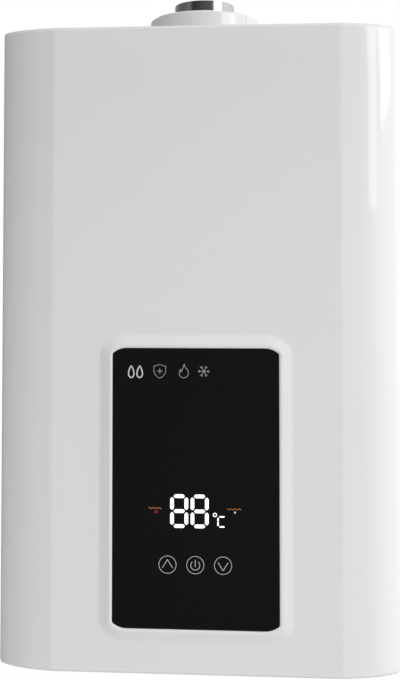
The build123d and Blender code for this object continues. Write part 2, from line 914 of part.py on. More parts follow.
def burner_bars():
    """Row of burner bars with slotted tops and a mouth at the front."""
    low = burner_bottom + bar_lift
    high = shell_bottom - flame_room
    bar = span(-bar_width / 2, bar_width / 2, core_front + sheet, core_rear - sheet, low, high)
    port_pitch = (core_depth - 2 * sheet) / port_count
    for i in range(port_count):
        y = core_y + port_pitch * (i - (port_count - 1) / 2)
        half_x, half_y = port_length / 2, port_width / 2
        bar -= span(-half_x, half_x, y - half_y, y + half_y, high - port_depth, high + overrun)
    bar -= rod_y(mouth_radius, core_front - overrun, core_front + mouth_depth, 0, manifold_z)
    return [Pos(x, 0, 0) * bar for x in bar_places()]


def core_brackets():
    """Brackets between the rear panel and the heater core: two at the burner, one at the riser."""
    brackets = []
    low = burner_bottom + bracket_lift
    riser_low = hood_top + bracket_lift
    places = [(side * bracket_spacing / 2, core_rear, low) for side in (-1, 1)]
    places.append((fan_x, riser_rear, riser_low))
    for x, y, z in places:
        x0, x1 = x - bracket_width / 2, x + bracket_width / 2
        bracket = span(x0, x1, y, -sheet, z, z + bracket_height)
        inside = span(x0 + sheet, x1 - sheet, y + sheet, -2 * sheet, z - overrun, z + bracket_height + overrun)
        brackets.append(bracket - inside)
    return brackets


def gas_manifold():
    """Bar that feeds the jets, held to the burner box at both ends."""
    half = core_width / 2 - manifold_inset
    y0, y1 = manifold_y - manifold_depth / 2, manifold_y + manifold_depth / 2
    z0, z1 = manifold_z - manifold_height / 2, manifold_z + manifold_height / 2
    bar = span(-half, half, y0, y1, z0, z1)
    bar += span(-half, manifold_end - half, y1, core_front, z0, z1)
    bar += span(half - manifold_end, half, y1, core_front, z0, z1)
    bar -= rod_x(manifold_bore, manifold_end - half, half - manifold_end, manifold_y, manifold_z)
    for x in bar_places():
        bar -= rod_y(jet_bore, manifold_y, y1 + overrun, x, manifold_z)
    return bar - post(gas_pipe_radius - pipe_wall, z0 - overrun, manifold_z, gas_x, manifold_y)


def gas_jets():
    """Row of brass jets on the manifold."""
    back = manifold_y + manifold_depth / 2
    jets = []
    for x in bar_places():
        jet = rod_y(jet_radius, back, back + jet_length, x, manifold_z)
        jets.append(jet - rod_y(jet_bore, back - overrun, back + jet_length + overrun, x, manifold_z))
    return jets


def gas_pipe():
    """Straight pipe from the valve up to the manifold."""
    inner = gas_pipe_radius - pipe_wall
    return ring(gas_pipe_radius, inner, valve_top, manifold_z - manifold_height / 2, gas_x, manifold_y)


def valve_coil_places():
    """Places across of the two coils on the gas valve."""
    return [gas_x - coil_spacing / 2, gas_x + coil_spacing / 2]


def gas_valve():
    """Cast body of the gas valve with a chamber under each coil."""
    y0 = manifold_y - valve_front_margin
    half = valve_width / 2
    body = span(gas_x - half, gas_x + half, y0, y0 + valve_depth, valve_bottom, valve_top)
    body = fillet(body.edges().filter_by(Axis.Z), valve_edge_round)
    chamber_floor = valve_top - plunger_chamber_depth
    for x in valve_coil_places():
        body -= post(plunger_foot_radius + plunger_chamber_gap, chamber_floor, valve_top + overrun, x, coil_y)
    body -= post(gas_pipe_radius - pipe_wall, chamber_floor, valve_top + overrun, gas_x, manifold_y)
    return body - post(fitting_bore, valve_bottom - overrun, valve_bottom + flange_height, gas_x, pipe_y)


def solenoid_coils():
    """Two coils with a blind bore for the plungers."""
    coils = []
    bore = plunger_radius + plunger_gap
    for x in valve_coil_places():
        coil = post(coil_radius, valve_top, valve_top + coil_height, x, coil_y)
        coils.append(coil - post(bore, valve_top - overrun, valve_top + coil_height - coil_cap, x, coil_y))
    return coils


def plunger(x):
    """Plunger with a sealing foot."""
    low = valve_top - plunger_chamber_depth + fit_gap
    high = valve_top + coil_height - coil_cap - spring_length
    foot = post(plunger_foot_radius, low, low + plunger_foot_height, x, coil_y)
    return foot + post(plunger_radius, low, high, x, coil_y)


def plunger_spring(x):
    """Coil spring between a plunger and the cap of its coil."""
    low = valve_top + coil_height - coil_cap - spring_length + spring_wire
    line = Pos(x, coil_y, low) * Helix(spring_pitch, spring_length - 2 * spring_wire, spring_radius)
    section = Plane(origin=line @ 0, z_dir=line % 0) * Circle(spring_wire)
    return sweep(section, path=line, is_frenet=True)


def fitting_places():
    """Places of the three pipe fittings in the floor: cold, hot and gas."""
    return [(cold_x, pipe_y), (hot_x, pass_y[-1]), (gas_x, pipe_y)]


def fitting(x, y, top, radius):
    """Fitting with a hexagon on the floor, a thread below it and a neck above it."""
    body = hexagon(flange_radius, floor_z, floor_z + flange_height, x, y)
    body += post(thread_radius, nipple_end, nipple_end + thread_length, x, y)
    body += post(thread_radius - thread_relief, nipple_end + thread_length, floor_z, x, y)
    return body + post(radius, floor_z + flange_height, top, x, y)


def gas_inlet():
    """Gas fitting that carries the valve."""
    body = fitting(gas_x, pipe_y, valve_bottom, flange_radius * cos(radians(30)))
    return body - post(fitting_bore, nipple_end - overrun, valve_bottom + overrun, gas_x, pipe_y)


def cold_inlet():
    """Cold water body: fitting, chamber of the flow sensor, neck for the pipe and the drain branch."""
    chamber_low = floor_z + flange_height
    chamber_high = chamber_low + chamber_height
    body = fitting(cold_x, pipe_y, cold_top, neck_radius)
    body += post(chamber_radius, chamber_low, chamber_high, cold_x, pipe_y)
    arm_z = floor_z + drain_arm_lift
    body += rod_y(drain_arm_radius, pipe_y, drain_y, cold_x, arm_z)
    boss_low = -panel_top - drain_boss_drop
    body += post(drain_boss_radius, boss_low, floor_z + drain_boss_height, cold_x, drain_y)
    body -= post(fitting_bore, nipple_end - overrun, chamber_high, cold_x, pipe_y)
    body -= post(chamber_bore, chamber_low, chamber_high - sheet, cold_x, pipe_y)
    body -= post(pipe_radius - pipe_wall, chamber_high - overrun, cold_top + overrun, cold_x, pipe_y)
    body -= rod_y(drain_bore, pipe_y, drain_y, cold_x, arm_z)
    return body - post(drain_bore, boss_low - overrun, arm_z, cold_x, drain_y)


def spider(z):
    """Ring with three arms and a hub that holds one end of the spindle."""
    outer = chamber_bore - thread_gap
    low, high = z - spider_height / 2, z + spider_height / 2
    frame = ring(outer, outer - spider_ring, low, high, cold_x, pipe_y)
    frame += post(spider_hub_radius, low, high, cold_x, pipe_y)
    reach = outer - spider_ring / 2
    for i in range(3):
        arm = Pos(reach / 2, 0, 0) * Box(reach, spider_arm, spider_height)
        frame += Pos(cold_x, pipe_y, z) * Rot(0, 0, i * 120) * arm
    return frame


def turbine_spindle():
    """Spindle of the flow turbine between its two spiders."""
    z = floor_z + turbine_lift
    reach = turbine_height / 2 + spider_end_gap + spider_height / 2
    frame = spider(z - reach) + spider(z + reach)
    return frame + post(spindle_radius, z - reach, z + reach, cold_x, pipe_y)


def flow_turbine():
    """Turbine of the flow sensor with tilted blades."""
    z = floor_z + turbine_lift
    half = turbine_height / 2
    wheel = post(turbine_hub_radius, z - half, z + half, cold_x, pipe_y)
    blade = Box(turbine_radius, turbine_blade, turbine_height * cos(radians(turbine_blade_tilt)) - turbine_blade)
    blade = Pos(turbine_radius / 2, 0, 0) * Rot(turbine_blade_tilt, 0, 0) * blade
    swept = post(turbine_radius, z - half, z + half, cold_x, pipe_y)
    for i in range(turbine_blades):
        turned = Pos(cold_x, pipe_y, z) * Rot(0, 0, i * 360 / turbine_blades) * blade
        wheel += turned & swept
    return wheel - post(spindle_radius + bearing_gap, z - turbine_height, z + turbine_height, cold_x, pipe_y)


def flow_pickup():
    """Sensor block on the outside of the turbine chamber."""
    z = floor_z + turbine_lift
    y1 = pipe_y - chamber_bore
    y0 = pipe_y - chamber_radius - pickup_depth
    half_x, half_z = pickup_width / 2, pickup_height / 2
    block = span(cold_x - half_x, cold_x + half_x, y0, y1, z - half_z, z + half_z)
    return block - post(chamber_radius + thread_gap, z - pickup_height, z + pickup_height, cold_x, pipe_y)


def inlet_filter():
    """Slotted cup in the cold inlet, with a rim on the end of the thread."""
    outer = fitting_bore - fit_gap
    top = nipple_end + filter_length
    cup = post(outer, nipple_end, top, cold_x, pipe_y)
    cup += post(fitting_bore + filter_rim_width, nipple_end - filter_rim, nipple_end, cold_x, pipe_y)
    cup -= post(outer - filter_wall, nipple_end - overrun, top - filter_wall, cold_x, pipe_y)
    slot_z = nipple_end + filter_length / 2
    for i in range(filter_slots // 2):
        slot = Box(2 * fitting_bore + overrun, filter_slot_width, filter_slot_length)
        cup -= Pos(cold_x, pipe_y, slot_z) * Rot(0, 0, i * 360 / filter_slots) * slot
    return cup


def drain_levels():
    """Heights of the end of the drain boss, the underside of its seal and the rim of the knob."""
    seal_top = -panel_top - drain_boss_drop - fit_gap
    return seal_top, seal_top - drain_seal_height, -panel_top - knob_clear


def drain_seal():
    """Rubber disc that closes the drain."""
    top, low, rim = drain_levels()
    return post(drain_boss_radius - drain_seal_inset, low, top, cold_x, drain_y)


def drain_knob():
    """Fluted cap that presses the seal against the drain boss."""
    top, low, rim = drain_levels()
    knob = post(knob_radius, low - knob_floor, rim, cold_x, drain_y)
    for i in range(knob_flutes):
        turn = radians(i * 360 / knob_flutes)
        x, y = cold_x + knob_radius * cos(turn), drain_y + knob_radius * sin(turn)
        knob -= post(knob_flute_radius, low - knob_floor - overrun, rim + overrun, x, y)
    return knob - post(drain_boss_radius + fit_gap, low, rim + overrun, cold_x, drain_y)


def hot_outlet():
    """Hot water fitting with a side boss for the temperature probe."""
    y = pass_y[-1]
    body = fitting(hot_x, y, hot_top, neck_radius)
    body += rod_x(outlet_boss_radius, hot_x, hot_x + outlet_boss_length, y, floor_z + outlet_boss_lift)
    body -= post(fitting_bore, nipple_end - overrun, floor_z + flange_height, hot_x, y)
    return body - post(pipe_radius - pipe_wall, floor_z, hot_top + overrun, hot_x, y)


def outlet_probe():
    """Temperature probe screwed to the side boss of the hot outlet."""
    face = hot_x + outlet_boss_length
    plane = Plane(origin=(face, pass_y[-1], floor_z + outlet_boss_lift), z_dir=(1, 0, 0))
    probe = extrude(plane * RegularPolygon(probe_hex_radius, 6), probe_hex_height)
    return probe + extrude(plane * Circle(probe_cap_radius), probe_hex_height + probe_cap_height)


def pipe_nuts():
    """Three nuts that clamp the fittings under the floor."""
    nuts = []
    for x, y in fitting_places():
        nut = hexagon(nut_radius, -panel_top - nut_height, -panel_top, x, y)
        nuts.append(nut - post(thread_radius + thread_gap, -top_z - nut_height, -panel_top + overrun, x, y))
    return nuts


def electrode_ceramics():
    """Two ceramic sleeves, one through each side of the burner box."""
    outside = core_width / 2 + ceramic_outside
    inside = core_width / 2 - ceramic_inside
    sleeves = []
    for side in (-1, 1):
        x0, x1 = sorted((side * inside, side * outside))
        sleeve = rod_x(ceramic_radius, x0, x1, electrode_y, electrode_z)
        sleeves.append(sleeve - rod_x(electrode_radius, x0 - overrun, x1 + overrun, electrode_y, electrode_z))
    return sleeves


def electrode_rods():
    """Ignition rod on the right and flame rod on the left."""
    outside = core_width / 2 + ceramic_outside
    inside = core_width / 2 - ceramic_inside - electrode_tip
    rods = []
    for side in (-1, 1):
        x0, x1 = sorted((side * inside, side * outside))
        rods.append(rod_x(electrode_radius, x0, x1, electrode_y, electrode_z))
    return rods


def ignition_module():
    """Spark generator on the rear panel."""
    half = module_width / 2
    low = module_top - module_height
    box = span(module_x - half, module_x + half, -sheet - module_depth, -sheet, low, module_top)
    return fillet(box.edges().filter_by(Axis.Y), module_round)


def ignition_lead():
    """Lead from the spark generator to the ignition rod."""
    y = -sheet - module_depth / 2
    side = core_width / 2 + lead_side_gap
    route = [
        (module_x, y, module_top),
        (module_x, y, electrode_z),
        (side, y, electrode_z),
        (side, electrode_y, electrode_z),
        (core_width / 2 + ceramic_outside, electrode_y, electrode_z),
    ]
    path = FilletPolyline(*route, radius=lead_bend)
    return sweep(Plane(path @ 0, z_dir=path % 0) * Circle(lead_radius), path)


def control_post_places():
    """Four places for the posts of the control board."""
    reach_x = control_width / 2 - control_post_inset
    reach_z = control_height / 2 - control_post_inset
    middle = (control_low + control_high) / 2
    return [(control_x + sx * reach_x, middle + sz * reach_z) for sx in (-1, 1) for sz in (-1, 1)]


def control_box():
    """Tray on the rear panel for the control board."""
    half = control_width / 2
    front = -sheet - control_depth
    inner = half - control_wall
    box = span(control_x - half, control_x + half, front, -sheet, control_low, control_high)
    z0, z1 = control_low + control_wall, control_high - control_wall
    box -= span(control_x - inner, control_x + inner, front - overrun, -sheet - control_wall, z0, z1)
    floor = -sheet - control_wall
    for x, z in control_post_places():
        box += rod_y(control_post_radius, floor - control_post, floor, x, z)
    return box


def control_board():
    """Circuit board on the posts of the control box."""
    half = control_width / 2 - control_wall - control_board_gap
    low = control_low + control_wall + control_board_gap
    high = control_high - control_wall - control_board_gap
    rear = -sheet - control_wall - control_post
    return span(control_x - half, control_x + half, rear - board_thickness, rear, low, high)


def control_lid():
    """Flat lid of the control box."""
    half = control_width / 2
    front = -sheet - control_depth
    return span(control_x - half, control_x + half, front - control_wall, front, control_low, control_high)


def cable_gland():
    """Gland for the power cord: a dome and hexagon under the floor and a nut above it."""
    y = front_y + gland_setback
    under = -panel_top
    gland = hexagon(gland_hex_radius, under - gland_hex_height, under, gland_x, y)
    gland += post(gland_radius, under - gland_drop, under, gland_x, y)
    gland += post(gland_shank_radius, under, floor_z, gland_x, y)
    gland += hexagon(gland_hex_radius, floor_z, floor_z + gland_nut_height, gland_x, y)
    return gland - post(gland_bore, under - gland_drop - overrun, floor_z + overrun + gland_nut_height, gland_x, y)


coil_left, coil_right = valve_coil_places()
nodes = {
    "rear_panel": rear_panel(),
    "top_panel": top_panel(),
    "bottom_panel": bottom_panel(),
    "front_cover": front_cover(),
    "cover_screws": cover_screws(),
    "panel_gasket": panel_gasket(),
    "display_glass": display_glass(),
    "display_carrier": display_carrier(),
    "display_board": display_board(),
    "board_screws": board_screws(),
    "digit_module": digit_module(),
    "touch_pads": touch_pads(),
    "status_lamps": status_lamps(),
    "flue_collar": flue_collar(),
    "collar_screws": collar_screws(),
    "flue_spigot": flue_spigot(),
    "flue_seal": flue_seal(),
    "outlet_box": outlet_box(),
    "fan_volute": fan_volute(),
    "volute_plate": volute_plate(),
    "fan_impeller": fan_impeller(),
    "motor_shaft": motor_shaft(),
    "fan_motor": fan_motor(),
    "fume_hood": fume_hood(),
    "exchanger_shell": exchanger_shell(),
    "exchanger_fins": exchanger_fins(),
    "exchanger_tube": exchanger_tube(),
    "coil_pipe": coil_pipe(),
    "hot_pipe": hot_pipe(),
    "burner_box": burner_box(),
    "burner_bars": burner_bars(),
    "core_brackets": core_brackets(),
    "gas_manifold": gas_manifold(),
    "gas_jets": gas_jets(),
    "gas_pipe": gas_pipe(),
    "gas_valve": gas_valve(),
    "solenoid_coils": solenoid_coils(),
    "safety_plunger": plunger(coil_left),
    "modulating_plunger": plunger(coil_right),
    "safety_spring": plunger_spring(coil_left),
    "modulating_spring": plunger_spring(coil_right),
    "gas_inlet": gas_inlet(),
    "cold_inlet": cold_inlet(),
    "turbine_spindle": turbine_spindle(),
    "flow_turbine": flow_turbine(),
    "flow_pickup": flow_pickup(),
    "inlet_filter": inlet_filter(),
    "drain_seal": drain_seal(),
    "drain_knob": drain_knob(),
    "hot_outlet": hot_outlet(),
    "outlet_probe": outlet_probe(),
    "pipe_nuts": pipe_nuts(),
    "electrode_ceramics": electrode_ceramics(),
    "electrode_rods": electrode_rods(),
    "ignition_module": ignition_module(),
    "ignition_lead": ignition_lead(),
    "control_box": control_box(),
    "control_board": control_board(),
    "control_lid": control_lid(),
    "cable_gland": cable_gland(),
}

os.makedirs("parts", exist_ok=True)
for name, shape in nodes.items():
    solids = shape if isinstance(shape, list) else [shape]
    bodies = [solid for piece in solids for solid in piece.solids()]
    export_step(bodies[0] if len(bodies) == 1 else Compound(bodies), f"parts/{name}.step")
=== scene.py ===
import bpy
import numpy as np
from mathutils import Matrix, Vector


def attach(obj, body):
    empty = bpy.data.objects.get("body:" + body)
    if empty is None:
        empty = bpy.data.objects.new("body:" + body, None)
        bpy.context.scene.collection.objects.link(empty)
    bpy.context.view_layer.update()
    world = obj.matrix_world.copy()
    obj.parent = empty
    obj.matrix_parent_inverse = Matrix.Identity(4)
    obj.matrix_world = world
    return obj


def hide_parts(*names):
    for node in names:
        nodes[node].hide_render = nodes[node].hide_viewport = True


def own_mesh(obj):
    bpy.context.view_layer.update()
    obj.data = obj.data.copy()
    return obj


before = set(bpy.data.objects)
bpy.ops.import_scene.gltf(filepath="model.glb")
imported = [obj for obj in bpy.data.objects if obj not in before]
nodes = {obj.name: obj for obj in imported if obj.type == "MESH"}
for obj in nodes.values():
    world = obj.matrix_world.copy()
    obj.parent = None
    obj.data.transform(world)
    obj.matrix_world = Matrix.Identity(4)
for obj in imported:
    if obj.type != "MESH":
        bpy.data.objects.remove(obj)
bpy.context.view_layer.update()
scene = bpy.context.scene


# Camera
# The photograph is taken almost straight from the front, a little from the
# right and above the middle, tilted slightly up, with the frame shifted down.
camera_place = (0.0774, -1.172, 0.0586)
camera_turn, camera_pitch = np.radians(4.44), np.radians(2.26)
look = Vector((
    -np.sin(camera_turn) * np.cos(camera_pitch),
    np.cos(camera_turn) * np.cos(camera_pitch),
    np.sin(camera_pitch),
))
right = Vector((np.cos(camera_turn), np.sin(camera_turn), 0))
camera_axes = Matrix((right, right.cross(look), -look)).transposed()
camera = bpy.data.objects.new("camera", bpy.data.cameras.new("camera"))
camera.data.lens = 57.90
camera.data.sensor_width = 36
camera.data.shift_x, camera.data.shift_y = 0.0065, -0.1485
camera.matrix_world = Matrix.Translation(camera_place) @ camera_axes.to_4x4()
scene.collection.objects.link(camera)
scene.camera = camera


# Studio
# A white tent: bright from the right, dim from the left, and dark behind the
# camera so that the black glass stays black. Two softboxes give the streaks
# on the right corner; a gridded lamp above lights the front, more so low down.
tent_glow, tent_rise = 0.695, (0.55, 0.0, 0.06)
dark_way, dark_glow = (-0.08, -0.98, -0.18), 0.16
dark_rim, dark_core = 0.80, 0.95  # cosines between which the tent darkens
mirror_rim, mirror_core = -0.28, -0.22  # added to both for mirror reflections


def joined(tree, kind, inputs=(), **settings):
    """Adds a shader node, sets its properties, and links or fills its inputs by name or number."""
    node = tree.nodes.new(kind)
    for name, value in settings.items():
        setattr(node, name, value)
    for name, value in dict(inputs).items():
        if isinstance(value, bpy.types.NodeSocket):
            tree.links.new(value, node.inputs[name])
        else:
            node.inputs[name].default_value = value
    return node


scene.view_settings.view_transform = "Standard"
scene.world = bpy.data.worlds.new("studio")
scene.world.use_nodes = True
tent = scene.world.node_tree
tent.nodes.clear()
way = joined(tent, "ShaderNodeTexCoord").outputs["Generated"]
tilt = joined(tent, "ShaderNodeVectorMath", {0: way, 1: tent_rise}, operation="DOT_PRODUCT")
side_light = joined(tent, "ShaderNodeMath", {0: tilt.outputs["Value"], 1: tent_glow},
                    operation="ADD")
glass_view = joined(tent, "ShaderNodeVectorMath", {0: way, 1: dark_way}, operation="DOT_PRODUCT")
rays = joined(tent, "ShaderNodeLightPath")
glossy = rays.outputs["Is Glossy Ray"]
field_rim = joined(tent, "ShaderNodeMath", {0: glossy, 1: mirror_rim, 2: dark_rim},
                   operation="MULTIPLY_ADD")
field_core = joined(tent, "ShaderNodeMath", {0: glossy, 1: mirror_core, 2: dark_core},
                    operation="MULTIPLY_ADD")
behind = joined(tent, "ShaderNodeMapRange", {
    "Value": glass_view.outputs["Value"], "From Min": field_rim.outputs[0],
    "From Max": field_core.outputs[0], "To Min": 1.0, "To Max": dark_glow},
    interpolation_type="SMOOTHSTEP")
glow = joined(tent, "ShaderNodeMath", {0: side_light.outputs[0], 1: behind.outputs[0]},
              operation="MULTIPLY")
seen = joined(tent, "ShaderNodeMix", {
    "Factor": rays.outputs["Is Camera Ray"], "A": glow.outputs[0], "B": 1.0}, data_type="FLOAT")
dome = joined(tent, "ShaderNodeBackground", {"Color": (1, 1, 1, 1), "Strength": seen.outputs[0]})
joined(tent, "ShaderNodeOutputWorld", {"Surface": dome.outputs[0]})


def softbox(name, place, aim, width, height, power, roll=0, spread=180, mirrored=True):
    """Rectangular lamp at a place, turned to a point and rolled, with a grid that limits its spread
    in degrees; it can be kept out of mirror reflections."""
    lamp = bpy.data.lights.new(name, "AREA")
    lamp.shape, lamp.size, lamp.size_y, lamp.energy = "RECTANGLE", width, height, power
    lamp.spread = np.radians(spread)
    holder = bpy.data.objects.new(name, lamp)
    holder.location = place
    holder.visible_camera, holder.visible_glossy = False, mirrored
    facing = (Vector(aim) - Vector(place)).to_track_quat("-Z", "Y").to_matrix()
    holder.rotation_euler = (facing @ Matrix.Rotation(np.radians(roll), 3, "Z")).to_euler()
    scene.collection.objects.link(holder)


upper_front, lower_front = (0, -0.15, 0.1), (0, -0.15, -0.5)
softbox("softbox_near_right", (1.068, -1.113, 0.575), upper_front, width=0.25, height=0.75,
        power=1.3)
softbox("softbox_far_right", (1.30, -0.721, 0.60), upper_front, width=0.43, height=0.4,
        power=1.45, roll=12)
softbox("fill_above", (0.05, -2.0, 0.85), lower_front, width=1.2, height=1.0,
        power=2.1, spread=60, mirrored=False)


# Floor
# A pale matt sheet below the heater, which hangs; it ends short of the back
# so that the main view shows the plain white tent alone.
floor_x, floor_front, floor_back, floor_z = 1300, -1500, 950, -900
millimetre, noise_low, noise_high = 0.001, 0.3, 0.7


def put_mesh(name, points, faces, crease=30.0):
    """Mesh object at the origin from whole arrays: points in millimetres (N, 3) and faces
    (M, 3 or 4); edges sharper than the crease angle in degrees stay sharp."""
    mesh = bpy.data.meshes.new(name)
    count, sides = faces.shape
    mesh.vertices.add(len(points))
    mesh.vertices.foreach_set("co", (np.asarray(points, float) * millimetre).ravel())
    mesh.loops.add(count * sides)
    mesh.loops.foreach_set("vertex_index", faces.astype(np.int32).ravel())
    mesh.polygons.add(count)
    mesh.polygons.foreach_set("loop_start", np.arange(0, count * sides, sides, dtype=np.int32))
    mesh.update(calc_edges=True)
    mesh.validate()
    mesh.polygons.foreach_set("use_smooth", np.ones(len(mesh.polygons), bool))
    mesh.set_sharp_from_angle(angle=np.radians(crease))
    thing = bpy.data.objects.new(name, mesh)
    scene.collection.objects.link(thing)
    return thing


def grain_group(name, crystals=False):
    """Shared surface grain: fine noise and broad patches at given scales, each from 0 to 1; the
    patches are soft clouds, or the flat crystals of a zinc coat."""
    group = bpy.data.node_groups.new(name, "ShaderNodeTree")
    face = group.interface
    face.new_socket("Vector", in_out="INPUT", socket_type="NodeSocketVector")
    face.new_socket("Fine", in_out="INPUT", socket_type="NodeSocketFloat")
    face.new_socket("Broad", in_out="INPUT", socket_type="NodeSocketFloat")
    face.new_socket("Grain", in_out="OUTPUT", socket_type="NodeSocketFloat")
    face.new_socket("Patch", in_out="OUTPUT", socket_type="NodeSocketFloat")
    start = group.nodes.new("NodeGroupInput").outputs
    fine = joined(group, "ShaderNodeTexNoise", {
        "Vector": start["Vector"], "Scale": start["Fine"], "Detail": 3.0})
    if crystals:
        cells = joined(group, "ShaderNodeTexVoronoi", {
            "Vector": start["Vector"], "Scale": start["Broad"], "Randomness": 1.0})
        patch = joined(group, "ShaderNodeSeparateColor", {0: cells.outputs["Color"]})
    else:
        patch = joined(group, "ShaderNodeTexNoise", {
            "Vector": start["Vector"], "Scale": start["Broad"], "Detail": 2.0})
    joined(group, "NodeGroupOutput", {"Grain": fine.outputs[0], "Patch": patch.outputs[0]})
    return group


surface_grain = grain_group("surface_grain")


def grained(name, dark, light, rough, metallic=0.0, fine=900.0, broad=14.0, bump=0.0,
            stretch=(1, 1, 1), pattern=surface_grain, **sockets):
    """Finish whose colour drifts between two tones and whose roughness and relief follow the shared
    grain; bump is the relief in millimetres."""
    finish = bpy.data.materials.new(name)
    finish.use_nodes = True
    tree = finish.node_tree
    shader = tree.nodes["Principled BSDF"]
    spot = joined(tree, "ShaderNodeTexCoord").outputs["Object"]
    laid = joined(tree, "ShaderNodeMapping", {"Vector": spot, "Scale": stretch}).outputs[0]
    grain = joined(tree, "ShaderNodeGroup", {"Vector": laid, "Fine": fine, "Broad": broad},
                   node_tree=pattern)
    tone = joined(tree, "ShaderNodeMix", {
        "Factor": grain.outputs["Patch"], "A": (*dark, 1), "B": (*light, 1)}, data_type="RGBA")
    tree.links.new(tone.outputs["Result"], shader.inputs["Base Color"])
    gloss = joined(tree, "ShaderNodeMapRange", {
        "Value": grain.outputs["Grain"], "From Min": noise_low, "From Max": noise_high,
        "To Min": rough[0], "To Max": rough[1]})
    tree.links.new(gloss.outputs[0], shader.inputs["Roughness"])
    shader.inputs["Metallic"].default_value = metallic
    if bump:
        relief = joined(tree, "ShaderNodeBump", {
            "Height": grain.outputs["Grain"], "Strength": 1.0, "Distance": bump * millimetre})
        tree.links.new(relief.outputs[0], shader.inputs["Normal"])
    for socket, value in sockets.items():
        shader.inputs[socket.replace("_", " ")].default_value = value
    return finish


floor_points = np.array([
    [-floor_x, floor_front, floor_z], [floor_x, floor_front, floor_z],
    [floor_x, floor_back, floor_z], [-floor_x, floor_back, floor_z]])
floor = put_mesh("floor", floor_points, np.array([[0, 1, 2, 3]]))
floor.data.materials.append(grained("floor_matt", (0.78, 0.78, 0.78), (0.82, 0.82, 0.82),
                                    (0.7, 0.8), broad=3.0))


# Rear panel and its brackets
# Zinc-coated sheet, bent at the sides, with four ears for the wall screws.
# The brackets that carry the core are cut from the same sheet.
def dress(finish, *names):
    """Gives CAD nodes a finish."""
    for name in names:
        for place in nodes[name].material_slots:
            place.material = finish


zinc_crystals = grain_group("zinc_crystals", crystals=True)
zinc_sheet = grained("zinc_sheet", (0.50, 0.52, 0.54), (0.66, 0.68, 0.70), (0.34, 0.42),
                     metallic=1.0, fine=240.0, broad=120.0, pattern=zinc_crystals)
dress(zinc_sheet, "rear_panel", "core_brackets")


# Top and bottom panels
# Flat sheet, powder painted in the white of the cover, with holes for the
# flue and pipes and air slots in the bottom one.
white_paint = grained("white_paint", (0.80, 0.80, 0.80), (0.815, 0.815, 0.815), (0.42, 0.48),
                      fine=1400.0, broad=6.0, bump=0.012, Coat_Weight=1.0, Coat_Roughness=0.05)
dress(white_paint, "top_panel", "bottom_panel")


# Front cover
# One white sheet: wide curves into the sides, rims turned in at top and
# bottom, and a raised frame with sloping sides around the display seat.
half_width, half_height, front_line, rear_line = 185.0, 296.0, -175.0, -3.0
sheet, rim_round, rim_insets = 1.0, 3.5, np.array([14.0, 10.5, 5.5])
wide_arc, wide_turn, tight_arc, least_arc = 85.0, np.radians(37.0), 9.0, 0.4
arc_x = half_width - tight_arc - (wide_arc - tight_arc) * np.sin(wide_turn)
crease_x, crease_turn, crease_round, facet_width = 132.5, np.radians(10.5), 2.2, 13.0
flat_end, slot_front, slot_middle = 112.0, -22.5, -14.0
window_x, window_low, window_high, row_below = 95.0, -276.0, 16.0, -284.0
corner_steps, corner_reach, level_steps, upright_steps = 6, 26.0, 8, 12
glass_x, glass_z, glass_middle = 75.75, 126.25, -127.8
long_arc, short_arc, long_run, least_corner = 19.4, 2.8, 13.0, 0.3
frame_reach, slope_at, slope = 16.0, np.array([8.0, 5.5]), np.tan(np.radians(19.0))
crest_at, crest_round, crest_depth = 2.3, 3.5, -178.2
crest_turn = np.radians([19.0, 13.0, 7.0, 0.0, -8.0, -16.0, -24.0, -35.0])
foot_at, foot_round = 12.18, 1.5
seat_depth, seat_edge, seat_end = -174.6, 0.3, -6.0


def edge_steps(low, high, middle):
    """Places along one side of the display window: close steps near both corners, even steps
    between."""
    near = np.linspace(0, corner_reach, corner_steps + 1)
    between = np.linspace(low + corner_reach, high - corner_reach, middle + 1)[1:-1]
    return np.concatenate([low + near, between, (high - near)[::-1]])


def cubic(start, leave, enter, end):
    """Points of a cubic curve, its start left out: one handle leaves the start and another enters
    the end."""
    t = np.linspace(0, 1, 20)[None, 1:]
    return ((1 - t) ** 3 * start + 3 * (1 - t) ** 2 * t * (start + leave)
            + 3 * (1 - t) * t ** 2 * (end - enter) + t ** 3 * end)


